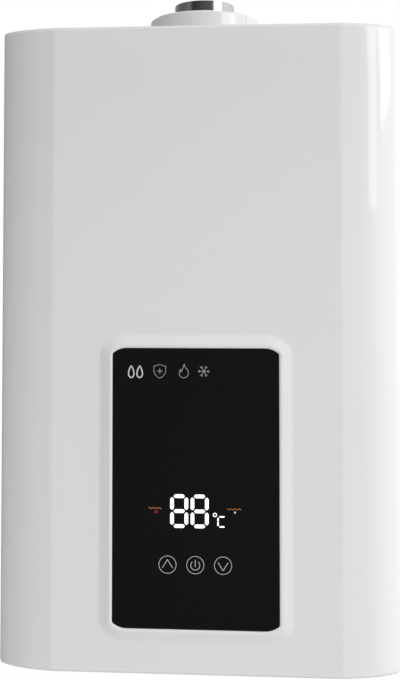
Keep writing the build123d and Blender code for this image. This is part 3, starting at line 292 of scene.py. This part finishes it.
def casing_line(inset):
    """Plan of the casing for an array of insets: flat front, a crease and a narrow facet, wide
    curve, tight bend and straight side, mirrored. The wide curve is a cubic that leaves the facet
    and enters the bend in their direction.

    The bends keep their centres while the inset shrinks them; where the tight bend is used up, a
    small one stays between the wide curve and the side."""
    d = np.asarray(inset, float)[:, None]
    tight, wide = np.maximum(tight_arc - d, least_arc), wide_arc - d
    turn = np.arcsin((half_width - d - tight - arc_x) / (wide - tight))
    flat = np.concatenate([edge_steps(-window_x, window_x, level_steps), [flat_end]])
    flat = flat[flat > 0][None] + 0 * d
    along = np.array([[-crease_round, 0.0, crease_round, facet_width]]) + 0 * d
    facet_x = (crease_x - d * np.tan(crease_turn / 2) + np.minimum(along, 0)
               + np.maximum(along, 0) * np.cos(crease_turn))
    facet_y = front_line + d + np.maximum(along, 0) * np.sin(crease_turn)
    start_x, start_y = facet_x[:, -1:], facet_y[:, -1:]
    end_x, end_y = arc_x + wide * np.sin(turn), front_line + wide_arc - wide * np.cos(turn)
    hand = np.hypot(end_x - start_x, end_y - start_y) / 3
    curve_x = cubic(start_x, hand * np.cos(crease_turn), hand * np.cos(turn), end_x)
    curve_y = cubic(start_y, hand * np.sin(crease_turn), hand * np.sin(turn), end_y)
    bend = turn + (np.pi / 2 - turn) * np.linspace(0, 1, 10)[None, 1:]
    hub_x, hub_y = end_x - tight * np.sin(turn), end_y + tight * np.cos(turn)
    back = hub_y + (slot_front - hub_y) * np.linspace(0, 1, 7)[None, 1:]
    tail = np.array([[slot_middle, rear_line]]) + 0 * d
    x = np.hstack([flat, facet_x, curve_x, hub_x + tight * np.sin(bend), half_width - d + 0 * back,
                   half_width - d + 0 * tail])
    y = np.hstack([front_line + d + 0 * flat, facet_y, curve_y, hub_y - tight * np.cos(bend),
                   back, tail])
    middle_y = front_line + d
    return np.hstack([-x[:, ::-1], 0 * d, x]), np.hstack([y[:, ::-1], middle_y, y])


def display_loop(offset):
    """Outline of the glass grown by an offset, left to right along the bottom and round: at each
    corner a long flat arc leaves the level edge and a short one turns into the upright edge,
    tangent to each other."""
    long, short = long_arc + offset, max(short_arc + offset, least_corner)
    long_x, long_z, short_x = glass_x - long_run, glass_z - long_arc, glass_x + offset - short
    short_z = long_z + np.sqrt((long - short) ** 2 - (short_x - long_x) ** 2)
    meet = np.arctan2(short_z - long_z, short_x - long_x)
    high = np.linspace(meet, np.pi / 2, corner_steps + 1)
    low = np.linspace(meet, 0, corner_steps + 1)
    run_x = np.linspace(-long_x, long_x, level_steps + 1)[1:-1]
    run_z = np.linspace(-short_z, short_z, upright_steps + 1)[1:-1]
    end_x, end_z = long_x + long * np.cos(high), long_z + long * np.sin(high)
    level_x = np.concatenate([-end_x, run_x, end_x[:0:-1]])
    level_z = np.concatenate([end_z, glass_z + offset + 0 * run_x, end_z[:0:-1]])
    end_x, end_z = short_x + short * np.cos(low), short_z + short * np.sin(low)
    upright_x = np.concatenate([end_x, glass_x + offset + 0 * run_z, end_x[:0:-1]])
    upright_z = np.concatenate([-end_z, run_z, end_z[:0:-1]])
    x = np.concatenate([level_x, upright_x, -level_x, -upright_x])
    z = np.concatenate([-level_z, upright_z, level_z, -upright_z])
    return x, z + glass_middle


def frame_points(offsets, depths):
    """Points of loops around the display, each grown by an offset from the glass outline and at a
    depth."""
    outlines = [display_loop(offset) for offset in offsets]
    return np.concatenate([np.stack([x, y + 0 * x, z], -1) for (x, z), y in zip(outlines, depths)])


def skin_rows(below):
    """Insets and heights of the rows of one skin of the cover, a way below the outer face: rim,
    round, upright face, round and rim."""
    rim_end, bend = half_height - rim_round, rim_round - below
    quarter = np.radians(np.linspace(0, 90, 7))
    face = np.concatenate([[row_below], edge_steps(window_low, window_high, upright_steps),
                           np.linspace(window_high, rim_end, 9)[1:-1]])
    inset = np.concatenate([rim_insets, rim_round - bend * np.sin(quarter), below + 0 * face,
                            rim_round - bend * np.cos(quarter), rim_insets[::-1]])
    rim = half_height - below + 0 * rim_insets
    z = np.concatenate([-rim, -rim_end - bend * np.cos(quarter), face,
                        rim_end + bend * np.sin(quarter), rim])
    return inset, z


def frame_rows(below):
    """Offsets and depths of the loops of the display frame in one skin: foot, slope, crest and
    seat. The foot is a parabola between the flat front and the slope."""
    foot = foot_at + foot_round * np.array([1.0, 0.5, 0.0, -0.5, -1.0])
    bend = crest_round - below
    offset = np.concatenate([[frame_reach], foot, slope_at, crest_at + bend * np.sin(crest_turn),
                             [seat_edge + below, seat_end]])
    rise = np.concatenate([[0.0], slope * (foot_at + foot_round - foot) ** 2 / (4 * foot_round),
                           slope * (foot_at - slope_at)])
    depth = np.concatenate([front_line - rise + below,
                            crest_depth + crest_round - bend * np.cos(crest_turn),
                            [seat_depth + below, seat_depth + below]])
    return offset, depth


def cover_points(below):
    """Points of one skin of the cover: the casing plan at each row, then the loops of the display
    frame."""
    inset, z = skin_rows(below)
    x, y = casing_line(inset)
    shell = np.stack([x, y, z[:, None] + 0 * x], -1)
    return np.concatenate([shell.reshape(-1, 3), frame_points(*frame_rows(below))])


def closed_sheet(name, face_points, back_points, skin, crease):
    """Sheet with thickness: a skin, the same skin turned round on the back points, and a wall along
    each open edge."""
    count = len(face_points)
    edges = np.concatenate([skin[:, [i, (i + 1) % 4]] for i in range(4)])
    key = edges[:, 0] * count + edges[:, 1]
    free = edges[~np.isin(key, edges[:, 1] * count + edges[:, 0])]
    wall = np.stack([free[:, 1], free[:, 0], free[:, 0] + count, free[:, 1] + count], -1)
    return put_mesh(name, np.concatenate([face_points, back_points]),
                    np.concatenate([skin, skin[:, ::-1] + count, wall]), crease)


column_x, row_z = casing_line([0.0])[0][0], skin_rows(0.0)[1]
columns, rows = len(column_x), len(row_z)
first, last = np.argmin(abs(column_x + window_x)), np.argmin(abs(column_x - window_x))
low, high = np.argmin(abs(row_z - window_low)), np.argmin(abs(row_z - window_high))
at = np.arange(rows * columns).reshape(rows, columns)
quads = np.stack([at[:-1, :-1], at[:-1, 1:], at[1:, 1:], at[1:, :-1]], -1)
kept = np.ones(quads.shape[:2], bool)
kept[low:high, first:last] = False
# Both rims have slots, open to the rear, where the cover slides off its screws.
for slot_row in (1, rows - 3):
    kept[slot_row, :2] = kept[slot_row, -2:] = False
window_loop = np.concatenate([at[low, first:last], at[low:high, last],
                              at[high, last:first:-1], at[high:low:-1, first]])
per_loop, frame_loops = len(window_loop), len(frame_rows(0.0)[0])
frame_at = rows * columns + np.arange(frame_loops * per_loop).reshape(-1, per_loop)
loops = np.vstack([window_loop, frame_at])
following = np.roll(loops, -1, axis=1)
frame_quads = np.stack([loops[:-1], following[:-1], following[1:], loops[1:]], -1)
skin = np.concatenate([quads[kept], frame_quads.reshape(-1, 4)])
cover = closed_sheet("cover_shell", cover_points(0.0), cover_points(sheet), skin, crease=35.0)
cover.data.materials.append(white_paint)
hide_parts("front_cover")
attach(cover, "cover")


# Cover screws, collar screws and board screws
# Bright zinc-plated steel screws, all with round heads. They hold the cover,
# the flue collar and the display board.
plated_steel = grained("plated_steel", (0.60, 0.60, 0.62), (0.72, 0.72, 0.73), (0.22, 0.34),
                       metallic=1.0, fine=1200.0, broad=60.0)
dress(plated_steel, "cover_screws", "collar_screws", "board_screws")


# Display glass
# Black glass let into the frame and stuck to its seat by a thin gasket, with
# a small bevel along its front edge.
glass_face, glass_bevel, glass_thick = -177.6, 0.3, 2.5
black_glass = grained("black_glass", (0.0045, 0.0045, 0.0047), (0.0052, 0.0052, 0.0054),
                      (0.05, 0.07), fine=300.0, broad=8.0, IOR=1.46)
dress(black_glass, "display_glass")
glass_loops = frame_points([-glass_bevel, 0.0, 0.0],
                           glass_face + np.array([0.0, glass_bevel, glass_thick]))
glass_centres = [[0, glass_face, glass_middle], [0, glass_face + glass_thick, glass_middle]]
near_loop, bevel_loop, far_loop = np.arange(3 * per_loop).reshape(3, per_loop)
near_centre, far_centre = 3 * per_loop, 3 * per_loop + 1
sides = [np.stack(corners, -1)
         for front, behind in ((near_loop, bevel_loop), (bevel_loop, far_loop))
         for corners in ((front, behind, np.roll(behind, -1)),
                         (front, np.roll(behind, -1), np.roll(front, -1)))]
fans = [np.stack([0 * near_loop + near_centre, near_loop, np.roll(near_loop, -1)], -1),
        np.stack([0 * far_loop + far_centre, np.roll(far_loop, -1), far_loop], -1)]
pane = put_mesh("glass_pane", np.concatenate([glass_loops, glass_centres]),
                np.concatenate(sides + fans))
pane.data.materials.append(black_glass)
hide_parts("display_glass")
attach(pane, "cover")


# Printed marks
# Lit digits with their unit, three touch keys, a row of symbols and two small
# signs with their lamps, all on the front of the glass.
print_rise, print_sink, print_layer, least_mitre = 0.07, 0.03, 0.003, 0.4


def print_line(line, width, closed=False):
    """Printed line on the glass: a rectangular profile, as wide as given and 0.1 mm thick, carried
    along a path of X and Z places; corners are mitred. Returns points and faces."""
    line = np.asarray(line, float)
    ahead, back = np.roll(line, -1, 0), np.roll(line, 1, 0)
    if not closed:
        ahead[-1], back[0] = 2 * line[-1] - line[-2], 2 * line[0] - line[1]
    after = (ahead - line) / np.linalg.norm(ahead - line, axis=1)[:, None]
    before = (line - back) / np.linalg.norm(line - back, axis=1)[:, None]
    along = (after + before) / np.linalg.norm(after + before, axis=1)[:, None]
    mitre = np.maximum((along * after).sum(1), least_mitre)
    reach = np.broadcast_to(width, len(line)) / 2 / mitre
    offset = np.stack([-along[:, 1], along[:, 0]], 1) * reach[:, None]
    near, far = glass_face - print_rise, glass_face + print_sink
    corners = [(line + offset, far), (line + offset, near),
               (line - offset, near), (line - offset, far)]
    points = np.stack([np.stack([p[:, 0], y + 0 * p[:, 0], p[:, 1]], 1) for p, y in corners], 1)
    at = np.arange(4 * len(line)).reshape(-1, 4)
    if closed:
        at = np.vstack([at, at[:1]])
    turned = np.roll(at, -1, 1)
    sides = np.stack([at[:-1], turned[:-1], turned[1:], at[1:]], -1).reshape(-1, 4)
    caps = np.empty((0, 4), int) if closed else np.stack([at[0, ::-1], at[-1]])
    return points.reshape(-1, 3), np.concatenate([sides, caps])


def print_mesh(name, finish, parts):
    """Joins printed lines to one piece on the glass; each lies a thin layer over the one before, so
    none share a face."""
    starts = np.cumsum([0] + [len(points) for points, _ in parts[:-1]])
    points = np.concatenate([points - (0, print_layer * layer, 0)
                             for layer, (points, _) in enumerate(parts)])
    faces = np.concatenate([faces + start for (_, faces), start in zip(parts, starts)])
    piece = put_mesh(name, points, faces)
    piece.data.materials.append(finish)
    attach(piece, "cover")


def arc(x, z, radius, start, end, count=40):
    """Points of an arc from a start to an end angle in degrees."""
    t = np.radians(np.linspace(start, end, count))
    return np.stack([x + radius * np.cos(t), z + radius * np.sin(t)], 1)


def ring(x, z, radius, width, count=40):
    """Printed circle: a closed line along a full arc."""
    return print_line(arc(x, z, radius, 0, 360, count)[:-1], width, closed=True)


def dot(x, z, radius):
    """Round dot: a straight line from side to side, at each place as wide as the circle's chord;
    it stops short of both ends, where the chord would vanish."""
    t = np.radians(np.linspace(172, 8, 24))
    return print_line(np.stack([x + radius * np.cos(t), z + 0 * t], 1), 2 * radius * np.sin(t))


def bar(x0, z0, x1, z1, width):
    """Bar of a digit: a straight line with pointed ends."""
    start, end = np.array([x0, z0]), np.array([x1, z1])
    tip_run, tip_width = 0.42, 0.25
    tip = tip_run * width * ((end - start) / np.linalg.norm(end - start))
    return print_line([start, start + tip, end - tip, end],
                      np.array([tip_width, 1, 1, tip_width]) * width)


def digit(x, z):
    """Seven lit bars of one digit."""
    across, up, width, level_gap, upright_gap = 6.5, 13.4, 3.3, 1.6, 1.2
    level = [bar(x - across + level_gap, z + h, x + across - level_gap, z + h, width)
             for h in (-up, 0, up)]
    upright = [bar(x + s * across, z + h + upright_gap, x + s * across, z + h + up - upright_gap,
                   width)
               for s in (-1, 1) for h in (-up, 0)]
    return level + upright


digit_x, digit_z = (-14.7, 3.85), -148.35
degree_x, degree_z, degree_radius, degree_line = 17.7, -151.3, 1.5, 0.7
unit_x, unit_start, unit_end, unit_top, unit_low = 20.5, 21.6, 26.5, -152.9, -161.9
unit_gap, half_gap, level_line, upright_line = 0.8, 0.1, 1.3, 1.4
unit_middle = (unit_top + unit_low) / 2
lit_white = grained("lit_white", (0.85, 0.87, 0.88), (0.9, 0.9, 0.9), (0.4, 0.5),
                    Emission_Color=(1, 1, 1, 1), Emission_Strength=0.9)
digits = [part for x in digit_x for part in digit(x, digit_z)]
unit = [ring(degree_x, degree_z, degree_radius, degree_line),
        bar(unit_start, unit_top, unit_end, unit_top, level_line),
        bar(unit_x, unit_top - unit_gap, unit_x, unit_middle + half_gap, upright_line),
        bar(unit_x, unit_middle - half_gap, unit_x, unit_low + unit_gap, upright_line),
        bar(unit_start, unit_low, unit_end, unit_low, level_line)]
print_mesh("lit_digits", lit_white, digits + unit)

key_x, key_z, key_radius, ring_line, sign_line = (-25.3, -0.1, 25.0), -196.45, 7.8, 0.45, 0.52
# The key rings, key signs and drops glow with a painted glow, as no lamp stands behind them; on the
# white lamp dot the same glow stands for its lamp.
key_white_painted_glow_and_lamp = grained("key_white_painted_glow_and_lamp", (0.42, 0.42, 0.42), (0.48, 0.48, 0.48), (0.4, 0.5),
                    Emission_Color=(1, 1, 1, 1), Emission_Strength=0.12)
power_radius, power_low, power_ends, stroke_ends = 4.1, 0.3, (130, 410), (4.6, -1.8)
arrow = np.array([(-4.6, -2.8), (0, 4.5), (4.6, -2.8)])
stroke = [(key_x[1], key_z + end) for end in stroke_ends]
key_rings = [ring(x, key_z, key_radius, ring_line, 73) for x in key_x]
key_signs = [print_line(arrow + (key_x[0], key_z), sign_line),
             print_line(arc(key_x[1], key_z - power_low, power_radius, *power_ends), sign_line),
             print_line(stroke, sign_line),
             print_line(arrow * (1, -1) + (key_x[2], key_z), sign_line)]
white_lamp = dot(35.8, -148.9, 1.0)
print_mesh("key_prints", key_white_painted_glow_and_lamp, key_rings + key_signs + [white_lamp])

symbol_z, drop_x, shield_x, flame_x, flake_x = -22.3, (-58.7, -50.9), -32.5, -10.5, 7.7
drop_half, drop_rise, drop_low, drop_point = 3.4, 5.6, 0.3, 1.2
drop_wall, drop_taper, drop_tip = 1.2, 1.6, 0.03
plus_arm, spoke_length, barb_at, barb_length, barb_turn = 2.5, 5.2, 3.6, 1.7, 0.9
shield_line, plus_line, flame_line, spoke_line, barb_line = 0.4, 0.45, 0.48, 0.42, 0.38
# The grey symbols glow with a painted glow; no lamp stands behind them.
symbol_grey_painted_glow = grained("symbol_grey_painted_glow", (0.34, 0.34, 0.34), (0.40, 0.40, 0.40), (0.4, 0.5),
                      Emission_Color=(1, 1, 1, 1), Emission_Strength=0.05)


def smooth_loop(corners, steps=6):
    """Closed curve through the corners: on each leg a cubic whose end slopes are half the span of
    the neighbours."""
    before, after = np.roll(corners, 1, 0), np.roll(corners, -1, 0)
    beyond = np.roll(corners, -2, 0)
    t = np.linspace(0, 1, steps, endpoint=False)[None, :, None]
    legs = (corners[:, None] * (2 * t ** 3 - 3 * t ** 2 + 1)
            + after[:, None] * (3 * t ** 2 - 2 * t ** 3)
            + (after - before)[:, None] / 2 * (t ** 3 - 2 * t ** 2 + t)
            + (beyond - corners)[:, None] / 2 * (t ** 3 - t ** 2))
    return legs.reshape(-1, 2)


def ray(angle):
    """Direction at an angle in radians."""
    return np.array([np.cos(angle), np.sin(angle)])


# The drop is a circle drawn in to a point at its top, where its line thins.
t = np.linspace(0, 2 * np.pi, 49)[:-1]
drop = np.stack([drop_half * np.sin(t) * np.sin(t / 2) ** drop_point,
                 symbol_z - drop_low + drop_rise * np.cos(t)], 1)
thinned = np.minimum(drop_taper * abs(drop[:, 0]) + drop_tip, drop_wall)
drop_line = np.where(np.cos(t) > 0, thinned, drop_wall)
half_shield = np.array([(0, 6.2), (2.6, 5.0), (5.4, 4.6), (5.4, -0.4), (4.2, -3.2), (2.2, -5.2),
                        (0, -6.4)])
shield = np.concatenate([half_shield, half_shield[5:0:-1] * (-1, 1)]) + (shield_x, symbol_z)
plus_level = [(shield_x - plus_arm, symbol_z), (shield_x + plus_arm, symbol_z)]
plus_upright = [(shield_x, symbol_z + plus_arm), (shield_x, symbol_z - plus_arm)]
tongue = np.array([(0.4, 6.4), (0.9, 4.0), (3.2, 1.4), (4.2, -1.8), (2.6, -5.0), (-0.6, -5.9),
                   (-3.5, -4.3), (-4.2, -1.4), (-3.0, 1.6), (-2.3, -0.6), (-1.0, 2.6)])
flame = smooth_loop(tongue) + (flame_x, symbol_z)
flake_place = (flake_x, symbol_z)
spokes = [print_line(np.array([-ray(a), ray(a)]) * spoke_length + flake_place, spoke_line)
          for a in np.radians(np.arange(0, 180, 60))]
barbs = [print_line(np.array([barb_at * ray(a) + barb_length * ray(a + d), barb_at * ray(a)])
                    + flake_place, barb_line)
         for a in np.radians(np.arange(0, 360, 60)) for d in (-barb_turn, barb_turn)]
# The drops carry the same painted glow as the key rings.
print_mesh("drop_print", key_white_painted_glow_and_lamp, [print_line(drop + (x, 0), drop_line, closed=True)
                                     for x in drop_x])
print_mesh("symbol_prints", symbol_grey_painted_glow, [
    print_line(shield, shield_line, closed=True), print_line(plus_level, plus_line),
    print_line(plus_upright, plus_line), print_line(flame, flame_line, closed=True)]
    + spokes + barbs)

amber_z, amber_swing, amber_line = -146.0, 0.6, 0.65
wave_left, wave_width, zigzag_left, zigzag_width = -42.6, 12.0, 28.8, 12.6
# The amber signs glow with a painted glow; no lamp stands behind them, unlike the red lamp dot.
amber_print_painted_glow = grained("amber_print_painted_glow", (0.34, 0.12, 0.035), (0.40, 0.14, 0.04), (0.4, 0.5),
                      Emission_Color=(1, 0.3, 0.06, 1), Emission_Strength=0.04)
red_lit = grained("red_lit", (0.16, 0.01, 0.008), (0.20, 0.012, 0.01), (0.3, 0.4),
                  Emission_Color=(1, 0.03, 0.02, 1), Emission_Strength=0.04)
run = np.linspace(0, 1, 50)
wave = np.stack([wave_left + wave_width * run,
                 amber_z + amber_swing * np.sin(8 * np.pi * run)], 1)
zigzag = np.stack([zigzag_left + zigzag_width * run[::7],
                   amber_z + amber_swing * (-1) ** np.arange(8)], 1)
print_mesh("amber_prints", amber_print_painted_glow, [print_line(wave, amber_line),
                                         print_line(zigzag, amber_line)])
red_lamp = dot(-35.7, -149.2, 1.6)
print_mesh("red_print", red_lit, [red_lamp])


# Seals
# Black rubber and foam: the frame stuck between the glass and its seat, the
# ring around the spigot on the top panel, and the disc that closes the drain.
black_rubber = grained("black_rubber", (0.022, 0.022, 0.022), (0.034, 0.034, 0.034), (0.65, 0.8),
                       fine=1500.0, bump=0.02)
dress(black_rubber, "panel_gasket", "flue_seal", "drain_seal")


# Display board and its carrier
# A moulded black tray behind the glass carries the board with the digit
# module, the three touch pads and the two status lamps.
black_plastic = grained("black_plastic", (0.028, 0.028, 0.030), (0.040, 0.040, 0.043),
                        (0.42, 0.58), fine=1600.0, bump=0.02)
white_plastic = grained("white_plastic", (0.74, 0.74, 0.72), (0.80, 0.80, 0.78), (0.28, 0.40),
                        fine=1200.0, bump=0.008)
green_board = grained("green_board", (0.012, 0.085, 0.040), (0.020, 0.125, 0.058), (0.25, 0.40),
                      fine=700.0, broad=180.0, bump=0.01)
lamp_plastic = grained("lamp_plastic", (0.55, 0.03, 0.02), (0.66, 0.06, 0.04), (0.12, 0.20),
                       fine=600.0)
spring_steel = grained("spring_steel", (0.56, 0.56, 0.58), (0.68, 0.68, 0.70), (0.24, 0.36),
                       metallic=1.0, fine=1500.0, broad=120.0)
dress(black_plastic, "display_carrier")
dress(green_board, "display_board")
dress(white_plastic, "digit_module")
dress(spring_steel, "touch_pads")
dress(lamp_plastic, "status_lamps")


# Flue collar and spigot
# A white pressed cap around the flue opening, and the chrome steel mouth
# that takes the flue pipe.
dress(white_paint, "flue_collar")
flue_chrome = grained("flue_chrome", (0.46, 0.47, 0.48), (0.54, 0.55, 0.56), (0.08, 0.16),
                      metallic=1.0, fine=220.0, broad=20.0, stretch=(1, 1, 9))
dress(flue_chrome, "flue_spigot")


# Fan
# Zinc-coated scroll, plate and outlet box, a bladed wheel on the motor shaft
# and a moulded motor in front.
fan_steel = grained("fan_steel", (0.50, 0.51, 0.53), (0.60, 0.61, 0.63), (0.32, 0.40),
                    metallic=1.0, fine=600.0, broad=160.0, pattern=zinc_crystals)
coil_plastic = grained("coil_plastic", (0.045, 0.045, 0.058), (0.062, 0.062, 0.078), (0.40, 0.55),
                       fine=1500.0, bump=0.02)
dress(fan_steel, "outlet_box", "fan_volute", "volute_plate")
dress(plated_steel, "fan_impeller")
dress(spring_steel, "motor_shaft")
dress(coil_plastic, "fan_motor")


# Fume hood, exchanger and pipes
# An aluminised hood over a copper exchanger with its finned tube; copper
# pipes lead the water in and out.
hood_steel = grained("hood_steel", (0.50, 0.50, 0.50), (0.62, 0.62, 0.61), (0.40, 0.47),
                     metallic=1.0, fine=1500.0, broad=30.0)
copper = grained("copper", (0.62, 0.27, 0.17), (0.82, 0.45, 0.31), (0.28, 0.33),
                 metallic=1.0, fine=1400.0, broad=16.0)
dress(hood_steel, "fume_hood")
dress(copper, "exchanger_shell", "exchanger_fins", "exchanger_tube", "coil_pipe", "hot_pipe")


# Burner and gas train
# A stainless burner box with slotted bars, fed by a die-cast manifold and a
# die-cast valve with two coils and two steel plungers.
burner_steel = grained("burner_steel", (0.46, 0.45, 0.44), (0.58, 0.57, 0.56), (0.30, 0.37),
                       metallic=1.0, fine=900.0, broad=40.0, stretch=(1, 1, 12))
cast_alloy = grained("cast_alloy", (0.52, 0.52, 0.53), (0.62, 0.62, 0.63), (0.42, 0.60),
                     metallic=1.0, fine=1500.0, broad=40.0, bump=0.04)
dress(burner_steel, "burner_box", "burner_bars")
dress(cast_alloy, "gas_manifold", "gas_valve")
dress(coil_plastic, "solenoid_coils")
dress(plated_steel, "gas_pipe", "safety_plunger", "modulating_plunger")


# Pipe fittings
# Turned brass: the gas jets, the temperature probe, the nuts and the three
# pipe ends below the casing, each with a pipe thread cut on it.
thread_low, thread_high, thread_pitch, thread_steps = -316.6, -302.9, 1.814, 28
thread_root, thread_crest = 10.40, 10.78
ridge_foot, ridge_top, ridge_rate, least_ridge = 0.42, 0.10, 2.5, 0.05
brass = grained("brass", (0.68, 0.48, 0.20), (0.80, 0.60, 0.30), (0.23, 0.28),
                metallic=1.0, fine=2200.0, broad=30.0)
dress(brass, "gas_jets", "gas_inlet", "cold_inlet", "hot_outlet", "outlet_probe", "pipe_nuts")


def swept_sides(at):
    """Quads between neighbouring sections of a swept profile, from one row of point numbers for
    each section."""
    turned = np.roll(at, -1, 1)
    return np.stack([at[:-1], at[1:], turned[1:], turned[:-1]], -1).reshape(-1, 4)


def thread_ridge(x, y):
    """Pipe thread: a blunt ridge carried up a helix, one pitch for each turn; it runs out at both
    ends. Returns points and faces."""
    turns = (thread_high - thread_low) / thread_pitch
    t = np.linspace(0, turns, int(turns * thread_steps))[:, None]
    run_out = np.clip(np.minimum(t, turns - t) * ridge_rate, least_ridge, 1)
    radius = thread_root + (thread_crest - thread_root) * run_out * np.array([[0, 1, 1, 0]])
    profile = np.array([[-ridge_foot, -ridge_top, ridge_top, ridge_foot]])
    height = thread_low + thread_pitch * (t + profile)
    angle = 2 * np.pi * t + 0 * radius
    points = np.stack([x + radius * np.cos(angle), y + radius * np.sin(angle), height], -1)
    at = np.arange(radius.size).reshape(-1, 4)
    return points.reshape(-1, 3), np.concatenate([swept_sides(at), at[:1], at[-1:, ::-1]])


for place, x, y in (("gas", 20.0, -95.0), ("cold", 132.5, -95.0), ("hot", -147.5, -44.0)):
    thread = put_mesh(place + "_thread", *thread_ridge(x, y))
    thread.data.materials.append(brass)
    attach(thread, "chassis")


# Valve springs
# One coil spring of steel wire above each valve plunger, built at one length;
# the real spring shortens as the plunger lifts.
coil_y, coil_low, coil_high = -118.0, -194.3, -183.1
coil_radius, coil_pitch, wire_radius, coil_steps = 3.2, 2.2, 0.4, 32
dress(spring_steel, "safety_spring", "modulating_spring")


def wire_coil(x):
    """Coil spring: a round wire section of eight points, square to the wire, carried up a helix,
    one pitch for each turn, and closed at both ends. Returns points and faces."""
    turns = (coil_high - coil_low) / coil_pitch
    angle = 2 * np.pi * np.linspace(0, turns, int(turns * coil_steps))[:, None]
    out = np.stack([np.cos(angle), np.sin(angle), 0 * angle], -1)
    climb = coil_pitch / (2 * np.pi * coil_radius)
    run = np.stack([-np.sin(angle), np.cos(angle), climb + 0 * angle], -1)
    lift = np.cross(out, run / np.linalg.norm(run, axis=-1, keepdims=True))
    risen = np.stack([0 * angle, 0 * angle, coil_pitch * angle / (2 * np.pi)], -1)
    middle = np.array([x, coil_y, coil_low]) + coil_radius * out + risen
    section = 2 * np.pi * np.arange(8)[None, :, None] / 8
    points = middle + wire_radius * (np.cos(section) * out + np.sin(section) * lift)
    at = np.arange(points.size // 3).reshape(-1, 8)
    cap = np.array([[0, 1, 2, 3], [0, 3, 4, 7], [4, 5, 6, 7]])
    faces = np.concatenate([swept_sides(at), at[0][cap], at[-1][cap[:, ::-1]]])
    return points.reshape(-1, 3), faces


for valve, x in (("safety", -4.0), ("modulating", 44.0)):
    spring = put_mesh(valve + "_coil", *wire_coil(x))
    spring.data.materials.append(spring_steel)
    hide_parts(valve + "_spring")
    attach(spring, "chassis")
    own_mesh(spring)


# Water inlet parts, ignition and controls
# Grey, white and black mouldings of the inlet, ceramic electrodes with steel
# rods and their lead, and the grey control box with its green board.
grey_plastic = grained("grey_plastic", (0.26, 0.27, 0.29), (0.31, 0.32, 0.34), (0.45, 0.60),
                       fine=1500.0, bump=0.02)
white_ceramic = grained("white_ceramic", (0.78, 0.76, 0.71), (0.84, 0.82, 0.78), (0.16, 0.26),
                        fine=500.0, bump=0.01)
red_silicone = grained("red_silicone", (0.40, 0.030, 0.022), (0.48, 0.045, 0.032), (0.42, 0.55),
                       fine=900.0)
dress(grey_plastic, "turbine_spindle", "inlet_filter", "control_box", "control_lid")
dress(black_plastic, "flow_pickup", "drain_knob", "ignition_module", "cable_gland")
dress(white_plastic, "flow_turbine")
dress(green_board, "control_board")
dress(white_ceramic, "electrode_ceramics")
dress(spring_steel, "electrode_rods")
lead_route = np.array([(96, -13, -187.7), (96, -13, -117.5), (96, -13, -68.5), (145, -13, -68.5),
                       (145, -60, -68.5), (128, -60, -68.5)]) * millimetre
lead_radius = 0.002
lead_line = bpy.data.curves.new("spark_lead", "CURVE")
lead_line.dimensions, lead_line.bevel_depth, lead_line.bevel_resolution = "3D", lead_radius, 4
lead_line.resolution_u, lead_line.use_fill_caps = 14, True
lead_run = lead_line.splines.new("NURBS")
lead_run.points.add(len(lead_route) - 1)
lead_run.points.foreach_set("co", np.hstack([lead_route, np.ones((len(lead_route), 1))]).ravel())
lead_run.order_u, lead_run.use_endpoint_u = 3, True
lead = bpy.data.objects.new("spark_lead", lead_line)
scene.collection.objects.link(lead)
lead_line.materials.append(red_silicone)
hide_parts("ignition_lead")
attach(lead, "chassis")
